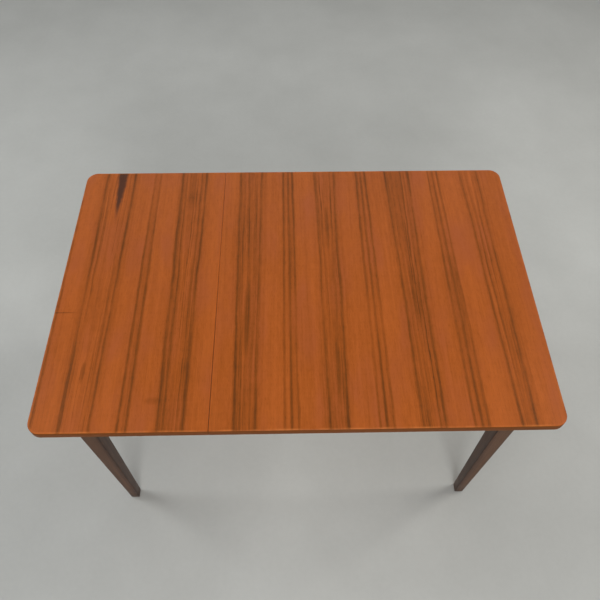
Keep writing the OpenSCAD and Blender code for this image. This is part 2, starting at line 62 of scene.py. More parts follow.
def paint(red: int, green: int, blue: int) -> Colour:
    """Turns a colour as it is seen on a screen into a linear one.

    Args:
        red: Red from 0 to 255.
        green: Green from 0 to 255.
        blue: Blue from 0 to 255.

    Returns:
        The linear colour with full alpha.
    """
    def channel(value: int) -> float:
        """Takes the screen curve off one channel."""
        part = value / 255
        return part / 12.92 if part <= 0.04045 else ((part + 0.055) / 1.055) ** 2.4

    return (channel(red), channel(green), channel(blue), 1.0)


class Value:
    """A number socket on which Python arithmetic adds Math nodes."""

    def __init__(self, graph: "Tree", socket: bpy.types.NodeSocket) -> None:
        """Keeps the tree and the socket that carries the number."""
        self.graph = graph
        self.socket = socket

    def __add__(self, other: "Value | float") -> "Value":
        """Sum."""
        return self.graph.math("ADD", self, other)

    __radd__ = __add__

    def __sub__(self, other: "Value | float") -> "Value":
        """Difference."""
        return self.graph.math("SUBTRACT", self, other)

    def __rsub__(self, other: float) -> "Value":
        """Difference from a plain number."""
        return self.graph.math("SUBTRACT", other, self)

    def __mul__(self, other: "Value | float") -> "Value":
        """Product."""
        return self.graph.math("MULTIPLY", self, other)

    __rmul__ = __mul__

    def __truediv__(self, other: "Value | float") -> "Value":
        """Quotient."""
        return self.graph.math("DIVIDE", self, other)

    def __pow__(self, other: float) -> "Value":
        """Power."""
        return self.graph.math("POWER", self, other)

    def __gt__(self, other: "Value | float") -> "Value":
        """One where this number is the greater, else zero."""
        return self.graph.math("GREATER_THAN", self, other)

    def __abs__(self) -> "Value":
        """Size without sign."""
        return self.graph.math("ABSOLUTE", self)

    def floor(self) -> "Value":
        """Whole part."""
        return self.graph.math("FLOOR", self)

    def fold(self, width: float) -> "Value":
        """Runs up and down between zero and a width, as book-matched leaves do."""
        return self.graph.math("PINGPONG", self, width)

    def least(self, other: "Value | float") -> "Value":
        """The smaller of two numbers."""
        return self.graph.math("MINIMUM", self, other)

    def most(self, other: "Value | float") -> "Value":
        """The greater of two numbers."""
        return self.graph.math("MAXIMUM", self, other)

    def unit(self) -> "Value":
        """Held between zero and one."""
        return self.least(1.0).most(0.0)

    def step(self, low: float, high: float) -> "Value":
        """Smooth rise from zero at low to one at high.

        Args:
            low: Number at which the rise starts.
            high: Number at which it ends. It may be below low.

        Returns:
            The rise.
        """
        made = self.graph.node(
            "ShaderNodeMapRange",
            {"interpolation_type": "SMOOTHSTEP"},
            {"Value": self, "From Min": low, "From Max": high},
        )
        return Value(self.graph, made.outputs["Result"])

    def line(self, place: "Value | float", half_width: float) -> "Value":
        """A soft line: one at a place, falling to zero at a distance from it."""
        return abs(self - place).step(half_width, 0.0)


class Tree:
    """A node tree, with one method that adds any node to it."""

    def __init__(self, tree: bpy.types.NodeTree) -> None:
        """Keeps the tree."""
        self.tree = tree

    def feed(self, socket: bpy.types.NodeSocket, value: object) -> None:
        """Sets a socket, or links it.

        Args:
            socket: Input to fill.
            value: A Value, another node's output, or a plain number or colour.
        """
        if isinstance(value, Value):
            self.tree.links.new(value.socket, socket)
        elif isinstance(value, bpy.types.NodeSocket):
            self.tree.links.new(value, socket)
        else:
            socket.default_value = value

    def node(
        self,
        kind: str,
        settings: Mapping[str, object] | None = None,
        sockets: Mapping[str | int, object] | None = None,
    ) -> bpy.types.Node:
        """Adds one node.

        Args:
            kind: Node type.
            settings: Properties, set before the sockets. "stops" fills a colour ramp.
            sockets: Values or links of the inputs, by name or number.

        Returns:
            The node.
        """
        made = self.tree.nodes.new(kind)
        for key, value in (settings or {}).items():
            if key == "stops":
                self._stops(made.color_ramp, value)
            else:
                setattr(made, key, value)
        for key, value in (sockets or {}).items():
            self.feed(made.inputs[key], value)
        return made

    @staticmethod
    def _stops(ramp: bpy.types.ColorRamp, stops: Sequence[tuple[float, Colour]]) -> None:
        """Fills a colour ramp with its stops."""
        while len(ramp.elements) < len(stops):
            ramp.elements.new(1.0)
        for element, (place, colour) in zip(ramp.elements, stops):
            element.position = place
            element.color = colour

    def math(self, operation: str, *values: "Value | float") -> Value:
        """Adds one Math node.

        Args:
            operation: Math operation.
            values: Operands in order.

        Returns:
            The result.
        """
        made = self.node("ShaderNodeMath", {"operation": operation}, dict(enumerate(values)))
        return Value(self, made.outputs[0])

    def split(self, vector: bpy.types.NodeSocket) -> list[Value]:
        """The three parts of a vector."""
        made = self.node("ShaderNodeSeparateXYZ", sockets={0: vector})
        return [Value(self, part) for part in made.outputs]


class Graph(Tree):
    """Node tree of one material."""

    def __init__(self, name: str) -> None:
        """Starts an empty material."""
        self.material = bpy.data.materials.new(name)
        self.material.use_nodes = True
        super().__init__(self.material.node_tree)
        self.tree.nodes.clear()

    def place(self) -> list[Value]:
        """Object coordinates in millimetres."""
        texture = self.node("ShaderNodeTexCoord")
        return [part * (1 / MM) for part in self.split(texture.outputs["Object"])]

    def strip(self, layer: str) -> list[Value]:
        """Millimetres along and across a strip, from its own UV map."""
        texture = self.node("ShaderNodeUVMap", {"uv_map": layer})
        return [part * (1 / MM) for part in self.split(texture.outputs["UV"])[:2]]

    def attribute(self, name: str) -> Value:
        """A number stored on the mesh, zero where there is none."""
        made = self.node("ShaderNodeAttribute", {"attribute_name": name})
        return Value(self, made.outputs["Fac"])

    def noise(
        self,
        at: Sequence[Value | float],
        detail: float = 2.0,
        roughness: float = 0.5,
    ) -> Value:
        """Smooth noise around one half.

        Args:
            at: One to three coordinates, scaled so that one unit is one feature.
            detail: Octaves of finer noise.
            roughness: Strength of the finer octaves.

        Returns:
            The noise, from zero to one.
        """
        where = dict(enumerate(at))
        vector = self.node("ShaderNodeCombineXYZ", sockets=where)
        made = self.node(
            "ShaderNodeTexNoise",
            {"noise_dimensions": "3D"},
            {
                "Vector": vector.outputs[0],
                "Scale": 1.0,
                "Detail": detail,
                "Roughness": roughness,
            },
        )
        return Value(self, made.outputs[0])

    def blend(
        self,
        factor: "Value | float",
        first: "Colour | bpy.types.NodeSocket",
        second: "Colour | bpy.types.NodeSocket",
    ) -> bpy.types.NodeSocket:
        """Mixes two colours.

        Args:
            factor: Share of the second colour.
            first: Colour or link.
            second: Colour or link.

        Returns:
            The mixed colour.
        """
        made = self.node(
            "ShaderNodeMix",
            {"data_type": "RGBA"},
            {0: factor, 6: first, 7: second},
        )
        return made.outputs[2]

    def ramp(self, value: Value, stops: Sequence[tuple[float, Colour]]) -> bpy.types.NodeSocket:
        """Colours along a ramp."""
        made = self.node("ShaderNodeValToRGB", {"stops": stops}, {0: value})
        return made.outputs["Color"]

    def bump(self, height: Value, distance: float, strength: float) -> bpy.types.NodeSocket:
        """Relief for the shader's normal.

        Args:
            height: Height from zero to one.
            distance: Depth in metres that a height of one stands for.
            strength: Strength of the relief.

        Returns:
            The normal.
        """
        made = self.node(
            "ShaderNodeBump",
            sockets={"Strength": strength, "Distance": distance, "Height": height},
        )
        return made.outputs[0]

    def finish(self, **sockets: object) -> bpy.types.Material:
        """Ends the tree in one shader.

        Args:
            sockets: Inputs of the shader, with underscores for the spaces in their names.

        Returns:
            The material.
        """
        named = {key.replace("_", " "): value for key, value in sockets.items()}
        shader = self.node("ShaderNodeBsdfPrincipled", sockets=named)
        self.node("ShaderNodeOutputMaterial", sockets={"Surface": shader.outputs[0]})
        return self.material


class Grain(Enum):
    """Direction in which the fibres of a piece run."""

    ALONG_X = 0
    ALONG_Y = 1
    ALONG_Z = 2

    def turn(self, place: Sequence[Value]) -> tuple[Value, Value, Value]:
        """Sorts coordinates into along the fibres and the two ways across them."""
        rest = [place[i] for i in range(3) if i != self.value]
        return place[self.value], rest[0], rest[1]


class Finish:
    """What all finishes share: a name, and one material made on first use."""

    name: str
    _made: dict["Finish", bpy.types.Material] = {}

    def material(self) -> bpy.types.Material:
        """The material, made once."""
        if self not in Finish._made:
            Finish._made[self] = self.build(Graph(self.name))
        return Finish._made[self]

    def build(self, graph: Graph) -> bpy.types.Material:
        """Makes the material."""
        raise NotImplementedError


@dataclass(frozen=True)
class Mark:
    """A dark fleck or rub in a face, in millimetres across and along the fibres."""

    across: float
    along: float
    half_width: float
    half_length: float
    strength: float

    def mask(self, across: Value, along: Value) -> Value:
        """Strength of the mark at a place."""
        side = (across - self.across) / self.half_width
        way = (along - self.along) / self.half_length
        return (side * side + way * way).step(1.0, 0.0) * self.strength


@dataclass(frozen=True)
class Stroke:
    """A dark line that runs beside the edge of a heart band, in millimetres."""

    offset: float
    half_width: float
    strength: float


@dataclass(frozen=True)
class TeakVeneer(Finish):
    """Book-matched face veneer, oiled satin.

    Distances are in millimetres across the leaves, which fold at each heart band.
    """

    name: str
    first_heart: float
    heart_halves: tuple[float, ...]
    pair_half: float
    middle_line: float
    heart_lines: tuple[float, ...]
    heart_fills: tuple[float, ...]
    marks: tuple[Mark, ...] = ()
    grain: Grain = Grain.ALONG_Y
    leaf: float = 105.5
    seed: float = 0.0
    mineral_streak: bool = False
    pale: Colour = paint(188, 97, 36)
    orange: Colour = paint(167, 84, 24)
    brown: Colour = paint(135, 69, 14)
    dark: Colour = paint(98, 50, 9)
    streak: Colour = paint(46, 30, 22)
    # Paler colour on the rounded arris: a painted highlight, made to look like edge rub.
    rubbed_highlight: Colour = paint(226, 132, 62)
    flush: Colour = paint(168, 86, 50)
    strokes: tuple[Stroke, ...] = (
        Stroke(0.0, 11.0, 0.30), Stroke(0.0, 4.6, 0.22),
        Stroke(-13.0, 5.0, 0.20), Stroke(12.0, 6.0, 0.10),
    )
    pair_line: float = 0.39
    pair_line_half: float = 5.8
    centre_half: float = 6.0
    heart_line_half: float = 11.0
    fade_share: float = 1.8
    fade_least: float = 0.10
    between_share: float = 0.12
    bands_share: float = 0.48
    mottle_share: float = 0.32
    ground: float = 0.15
    fibre_share: float = 0.52
    pore_share: float = 0.26
    cloud_share: float = 0.22
    orange_at: float = 0.33
    brown_at: float = 0.68
    streak_share: float = 0.85
    streak_tip: float = 190.0
    streak_length: float = 210.0
    streak_half: float = 16.5
    rub_highlight_share: float = 0.45
    flush_limit: float = 0.6
    drift: float = 0.005
    lean: float = 0.0085
    sway: float = 9.0
    ripple: float = 2.2
    feather: float = 6.0
    relief: float = 0.30
    relief_depth: float = 0.14 * MM
    roughness: float = 0.36
    gloss: float = 0.24

    def per_fold(self, index: Value, values: Sequence[float]) -> Value | float:
        """Picks a value by the number of the heart band.

        Args:
            index: Number of the band, counted from the first one.
            values: One value for each band.

        Returns:
            The value at this band.
        """
        total: Value | float = values[0]
        for number in range(1, len(values)):
            change = values[number] - values[number - 1]
            total = (index > number - 0.5) * change + total
        return total

    def figure(self, graph: Graph, across: Value, along: Value) -> Value:
        """Darkness of the grain figure.

        Args:
            graph: Tree to add to.
            across: Millimetres across the leaves.
            along: Millimetres along the fibres.

        Returns:
            Darkness from zero to about one.
        """
        leaf = self.leaf
        place = across + along * self.drift - self.first_heart
        band = ((place + leaf) / (2 * leaf)).floor()
        sheet = (place / leaf).floor()
        folded = place.fold(leaf)
        lean = along * self.lean
        sway = (graph.noise([along * 0.0042, band * 3.7, self.seed]) - 0.5) * self.sway
        ripple = graph.noise([along * 0.021, sheet * 5.1, self.seed + 4.0]) - 0.5
        ripple = ripple * self.ripple
        inner = folded - lean - sway - ripple
        outer = leaf - folded
        outer = outer + lean * 0.35 + sway * 0.3 + ripple
        half = self.per_fold(band, self.heart_halves)
        heart_line = self.per_fold(band, self.heart_lines)
        fill = self.per_fold(band, self.heart_fills)

        feather = graph.noise([across * 0.50, along * 0.010, self.seed + 3.0], 3.0) - 0.5
        feather = feather * self.feather
        inner, outer = inner + feather, outer + feather
        fade = graph.noise([along * 0.0045, inner * 0.03, self.seed + 9.0])
        fade = fade * self.fade_share + self.fade_least
        patch = graph.noise([along * 0.0055, band * 4.3, self.seed + 2.0]) * 2.0
        heart = (inner - half).step(8.0, -12.0)
        middle = inner.line(0.0, self.heart_line_half) * patch * heart_line
        lines = outer.line(self.pair_half, self.pair_line_half) * self.pair_line
        lines = lines + folded.line(leaf, self.centre_half) * self.middle_line
        for stroke in self.strokes:
            lines = lines + inner.line(half + stroke.offset, stroke.half_width) * stroke.strength
        lines = lines * fade + middle
        between = (outer - self.pair_half).step(6.0, -6.0) * self.between_share
        for mark in self.marks:
            lines = lines + mark.mask(across + feather, along)

        bands = graph.noise([inner * 0.055, along * 0.0014, sheet * 0.7 + self.seed], 3.0) - 0.5
        threads = graph.noise([inner * 0.20, along * 0.0030, sheet * 2.3 + self.seed], 3.0) - 0.5
        hair = graph.noise([inner * 0.34, along * 0.0022, sheet * 1.9 + self.seed], 1.0)
        threads = threads * (heart * 0.50 + 0.28) + hair.step(0.58, 0.70) * (heart * 0.20 + 0.08)
        mottle = graph.noise([across * 0.11, along * 0.035, self.seed + 7.0], 2.0) - 0.5
        shades = bands * self.bands_share + threads + mottle * self.mottle_share
        return heart * fill + lines + between + shades + self.ground

    def streak_mask(self, graph: Graph, across: Value, along: Value) -> Value:
        """A dark mineral streak that tapers from the back edge.

        Args:
            graph: Tree to add to.
            across: Millimetres across the leaves.
            along: Millimetres along the fibres.

        Returns:
            One in the streak, zero outside it.
        """
        wander = (graph.noise([along * 0.03, 7.0, 1.0], 3.0) - 0.5) * 9.0
        beside = abs(across - self.first_heart - 2.0 + wander)
        width = ((along - self.streak_tip) / self.streak_length).unit() ** 0.8 * self.streak_half
        thread = graph.noise([across * 0.45, along * 0.012, 3.0], 3.0) * 11.0 - 5.5
        inside = (beside + thread - width).step(3.0, -7.0)
        return inside * along.step(self.streak_tip, self.streak_tip + 100.0)

    def build(self, graph: Graph) -> bpy.types.Material:
        """Makes the material.

        Args:
            graph: Empty tree.

        Returns:
            The material.
        """
        x, y, _ = graph.place()
        across, along = (x, y) if self.grain is Grain.ALONG_Y else (y, 0.0 - x)
        figure = self.figure(graph, across, along)
        fibre = graph.noise([across * 1.5, along * 0.018, self.seed], 3.0, 0.6)
        pore = graph.noise([across * 2.4, along * 0.085, self.seed + 2.0], 1.0)
        pits = pore.step(0.56, 0.69)
        cloud = graph.noise([across * 0.006, along * 0.004, self.seed + 6.0], 2.0)
        tone = figure + (fibre - 0.5) * self.fibre_share + pits * self.pore_share
        tone = (tone + (cloud - 0.5) * self.cloud_share).unit()
        colour = graph.ramp(tone, [
            (0.0, self.pale),
            (self.orange_at, self.orange),
            (self.brown_at, self.brown),
            (1.0, self.dark),
        ])
        flush = graph.noise([across * 0.014, along * 0.0045, self.seed + 11.0], 2.0)
        flush = flush.step(0.42, 0.72) * (self.flush_limit - tone).most(0.0)
        colour = graph.blend(flush, colour, self.flush)
        if self.mineral_streak:
            mask = self.streak_mask(graph, across, along)
            colour = graph.blend(mask * self.streak_share, colour, self.streak)
        # Painted highlight: the rounded arris turns paler where the arris layer marks it, broken
        # up by noise like edge rub.
        rub = graph.noise([across * 0.02, along * 0.02, self.seed + 5.0], 3.0).step(0.36, 0.62)
        rub = graph.attribute(PAINTED_LIGHT_AND_ARRIS_LAYER) * rub * self.rub_highlight_share
        colour = graph.blend(rub, colour, self.rubbed_highlight)
        rough = graph.noise([across * 0.02, along * 0.015, self.seed + 8.0], 3.0)
        height = fibre * 0.5 - pits * 0.8 - tone * 0.2
        return graph.finish(
            Base_Color=colour,
            Roughness=rough * 0.10 + tone * 0.06 + self.roughness,
            Normal=graph.bump(height, self.relief_depth, self.relief),
            Specular_IOR_Level=self.gloss,
        )


@dataclass(frozen=True)
class Timber(Finish):
    """Solid or plain sliced wood with straight fibres, growth bands and pores."""

    name: str
    pale: Colour
    dark: Colour
    grain: Grain
    band: float = 7.0
    band_share: float = 0.5
    fibre_share: float = 0.5
    pore_share: float = 0.25
    pore_length: float = 9.0
    roughness: float = 0.5
    gloss: float = 0.24
    relief: float = 0.25
    seed: float = 0.0
    strip_layer: str = ""
    # Dark red blended in where the arris layer marks it: a darker arris, and painted shade on the
    # legs' inner side faces.
    dark_arris_and_shade: Colour = paint(48, 18, 12)
    dark_arris_and_shade_strength: float = 0.0
    cloud_share: float = 0.5
    ground: float = 0.42
    relief_depth: float = 0.15 * MM

    def build(self, graph: Graph) -> bpy.types.Material:
        """Makes the material.

        Args:
            graph: Empty tree.

        Returns:
            The material.
        """
        if self.strip_layer:
            along, side = graph.strip(self.strip_layer)
            deep = side * 0.35 + 11.0
        else:
            along, side, deep = self.grain.turn(graph.place())
        sway = (graph.noise([along * 0.004, side * 0.012, deep * 0.012]) - 0.5) * 14.0
        rings = (side * 0.86 + deep * 0.5 + sway) / self.band
        bands = graph.noise([rings, along * 0.0016, self.seed], 3.0, 0.55)
        fibre = graph.noise([side * 1.1, deep * 1.1, along * 0.024 + self.seed], 3.0, 0.6)
        pore = graph.noise(
            [side * 2.6, deep * 2.6, along / self.pore_length + self.seed], 1.0
        )
        pits = pore.step(0.60, 0.74)
        cloud = graph.noise([side * 0.012, deep * 0.012, along * 0.005 + self.seed], 2.0)
        tone = (bands - 0.5) * self.band_share * 2.0 + (fibre - 0.5) * self.fibre_share
        tone = tone + pits * self.pore_share + (cloud - 0.5) * self.cloud_share
        tone = (tone + self.ground).unit()
        colour = graph.blend(tone, self.pale, self.dark)
        rough = (fibre - 0.5) * 0.16 + (cloud - 0.5) * 0.14 + self.roughness
        # Darker arris, and painted shade over the legs' inner side faces, from the arris layer.
        if self.dark_arris_and_shade_strength:
            rub = graph.noise([side * 0.25, deep * 0.25, along * 0.03 + 5.0], 3.0)
            edge = graph.attribute(PAINTED_LIGHT_AND_ARRIS_LAYER) * rub.step(0.22, 0.58) * self.dark_arris_and_shade_strength
            colour = graph.blend(edge, colour, self.dark_arris_and_shade)
        height = fibre * 0.6 - pits * 0.8
        return graph.finish(
            Base_Color=colour,
            Roughness=rough,
            Normal=graph.bump(height, self.relief_depth, self.relief),
            Specular_IOR_Level=self.gloss,
        )


@dataclass(frozen=True)
class Blockboard(Finish):
    """Core of softwood strips glued side by side."""

    name: str
    grain: Grain
    strip: float = 24.0
    ring: float = 3.2
    pale: Colour = paint(214, 181, 132)
    dark: Colour = paint(176, 134, 84)
    relief: float = 0.25
    relief_depth: float = 0.15 * MM

    def build(self, graph: Graph) -> bpy.types.Material:
        """Makes the material.

        Args:
            graph: Empty tree.

        Returns:
            The material.
        """
        along, side, deep = self.grain.turn(graph.place())
        number = (side / self.strip).floor()
        joint = (side / self.strip).fold(0.5).step(0.03, 0.0)
        own = graph.noise([number * 3.3, 1.0, 2.0], 0.0)
        rings = (deep * 0.6 + side * 0.3 + own * 40.0) / self.ring
        bands = graph.noise([rings, along * 0.002, number * 2.0], 2.0)
        fibre = graph.noise([side * 1.2, deep * 1.2, along * 0.03], 3.0)
        tone = ((bands - 0.5) * 0.9 + (own - 0.5) * 0.8 + (fibre - 0.5) * 0.4 + 0.4).unit()
        colour = graph.blend(tone.most(joint * 0.9), self.pale, self.dark)
        return graph.finish(
            Base_Color=colour,
            Roughness=fibre * 0.15 + 0.62,
            Normal=graph.bump(fibre - joint, self.relief_depth, self.relief),
        )


@dataclass(frozen=True)
class PlatedSteel(Finish):
    """Plated steel with faint clouding and fine handling marks."""

    name: str
    bright: Colour = paint(196, 197, 196)
    dull: Colour = paint(150, 149, 142)
    roughness: float = 0.34
    scratch: float = 0.2
    relief: float = 0.25
    relief_depth: float = 0.04 * MM

    def build(self, graph: Graph) -> bpy.types.Material:
        """Makes the material.

        Args:
            graph: Empty tree.

        Returns:
            The material.
        """
        x, y, z = graph.place()
        cloud = graph.noise([x * 0.16, y * 0.16, z * 0.16], 4.0, 0.6)
        grit = graph.noise([x * 1.9, y * 1.9, z * 1.9], 2.0)
        marks = graph.noise([x * 0.5, y * 3.0, z * 3.0], 2.0).step(0.62, 0.70)
        tone = ((cloud - 0.5) * 1.7 + (grit - 0.5) * 0.5 + marks * self.scratch + 0.45).unit()
        return graph.finish(
            Base_Color=graph.blend(tone, self.bright, self.dull),
            Metallic=1.0,
            Roughness=(cloud - 0.5) * 0.26 + marks * 0.10 + self.roughness,
            Normal=graph.bump(grit - marks * 0.6, self.relief_depth, self.relief),
        )


@dataclass(frozen=True)
class PaleFloor(Finish):
    """Plain smooth floor, slightly clouded."""

    name: str = "pale_floor"
    light: Colour = paint(206, 207, 203)
    shade: Colour = paint(189, 190, 186)
    gloss: float = 0.3

    def build(self, graph: Graph) -> bpy.types.Material:
        """Makes the material.

        Args:
            graph: Empty tree.

        Returns:
            The material.
        """
        x, y, _ = graph.place()
        cloud = graph.noise([x * 0.0022, y * 0.0022], 4.0, 0.55)
        grain = graph.noise([x * 0.06, y * 0.06], 3.0, 0.6)
        tone = ((cloud - 0.5) * 1.5 + (grain - 0.5) * 0.35 + 0.5).unit()
        return graph.finish(
            Base_Color=graph.blend(tone, self.light, self.shade),
            Roughness=cloud * 0.2 + 0.55,
            Specular_IOR_Level=self.gloss,
        )


class Slot(Enum):
    """Material slots of the record."""

    VENEER = "teak_veneer"
    LIPPING = "teak_lipping"
    DARK = "dark_wood"
    BEECH = "beech"
    ZINC = "zinc_steel"
    GLIDE = "glide_steel"


STRIP_LAYER = "strip"
# Per-point strength of painted light on rounded arrises: the veneer's painted highlight, and the
# legs' darker arris with painted shade on their inner side faces.
PAINTED_LIGHT_AND_ARRIS_LAYER = "arris"

FIXED_VENEER = TeakVeneer(
    "teak_veneer_fixed", -123.0, (27.0, 23.5, 29.0, 19.5), 14.5, 0.34,
    (0.14, 0.08, 0.11, 0.06), (0.15, 0.10, 0.19, 0.08),
    (
        Mark(-123.0, -100.0, 12.0, 130.0, 0.34), Mark(87.0, 185.0, 8.0, 95.0, 0.26),
        Mark(95.0, -255.0, 8.0, 100.0, 0.24), Mark(301.0, -40.0, 14.0, 120.0, 0.20),
        Mark(411.0, -60.0, 7.0, 190.0, 0.20), Mark(-13.0, 90.0, 7.0, 170.0, 0.18),
    ),
    seed=1.0,
)
SLIDING_VENEER = TeakVeneer(
    "teak_veneer_sliding", -498.0, (36.5, 31.5), 9.0, 0.05, (0.05, 0.06), (0.06, 0.19),
    (
        Mark(-500.0, -250.0, 6.0, 36.0, 0.40), Mark(-331.0, -325.0, 22.0, 12.0, 0.26),
        Mark(-580.0, -84.0, 42.0, 2.6, 0.44), Mark(-283.0, 300.0, 26.0, 40.0, 0.14),
    ),
    seed=5.0, mineral_streak=True,
)
LEAF_VENEER = TeakVeneer(
    "teak_veneer_leaf", -102.0, (33.0, 28.0), 12.0, 0.20, (0.12, 0.08), (0.20, 0.24),
    grain=Grain.ALONG_X, seed=9.0,
)
TEAK_PALE = paint(150, 83, 31)
TEAK_DARK = paint(110, 60, 20)
EDGE_TEAK = Timber(
    "teak_edge", TEAK_PALE, TEAK_DARK, Grain.ALONG_X, band=5.0, roughness=0.42,
    gloss=0.03, strip_layer=STRIP_LAYER,
)
SEAM_TEAK = Timber(
    "teak_seam", TEAK_PALE, TEAK_DARK, Grain.ALONG_Y, band=5.0, roughness=0.45, seed=3.0,
)
LEAF_SEAM_TEAK = Timber(
    "teak_leaf_seam", TEAK_PALE, TEAK_DARK, Grain.ALONG_X, band=5.0, roughness=0.45, seed=6.0,
)
BACKING_PALE = paint(176, 126, 80)
BACKING_DARK = paint(126, 82, 48)
BACKING = Timber(
    "backing_along_y", BACKING_PALE, BACKING_DARK, Grain.ALONG_Y, band=11.0,
    pore_share=0.3, pore_length=14.0, roughness=0.62,
)
LEAF_BACKING = Timber(
    "backing_along_x", BACKING_PALE, BACKING_DARK, Grain.ALONG_X, band=11.0,
    pore_share=0.3, pore_length=14.0, roughness=0.62, seed=4.0,
)
CORE = Blockboard("core_along_y", Grain.ALONG_Y)
LEAF_CORE = Blockboard("core_along_x", Grain.ALONG_X)
DARK_PALE = paint(118, 74, 40)
DARK_DARK = paint(57, 33, 17)


def dark_wood(grain: Grain, seed: float) -> Timber:
    """Dark stained wood of the legs and the frame.

    Args:
        grain: Direction of the fibres.
        seed: Moves the figure, so that no two pieces are alike.

    Returns:
        The finish.
    """
    # The dark arris blend also paints shade on the legs' inner side faces; pieces without the
    # arris layer get none.
    return Timber(
        f"dark_wood_{grain.name.lower()}_{seed:.0f}", DARK_PALE, DARK_DARK, grain,
        band=6.0, band_share=0.62, fibre_share=0.6, pore_share=0.25, roughness=0.40,
        gloss=0.2, seed=seed, dark_arris_and_shade_strength=0.9,
    )


def beech(grain: Grain, seed: float = 0.0) -> Timber:
    """Pale unpainted wood of the hidden working pieces.

    Args:
        grain: Direction of the fibres.
        seed: Moves the figure.

    Returns:
        The finish.
    """
    return Timber(
        f"beech_{grain.name.lower()}_{seed:.0f}", paint(214, 172, 126),
        paint(176, 127, 82), grain, band=9.0, band_share=0.36, fibre_share=0.45,
        pore_share=0.30, pore_length=3.0, roughness=0.58, seed=seed,
    )


ZINC = PlatedSteel("zinc_plate")
GLIDE_STEEL = PlatedSteel(
    "glide_plate", paint(172, 172, 170), paint(112, 111, 108), 0.28, 0.45
)


@dataclass(frozen=True)
class Pin:
    """A screw, dowel or bolt of the CAD model: its head, its direction and its sizes."""

    head: Vector
    aim: Vector
    length: float
    radius: float


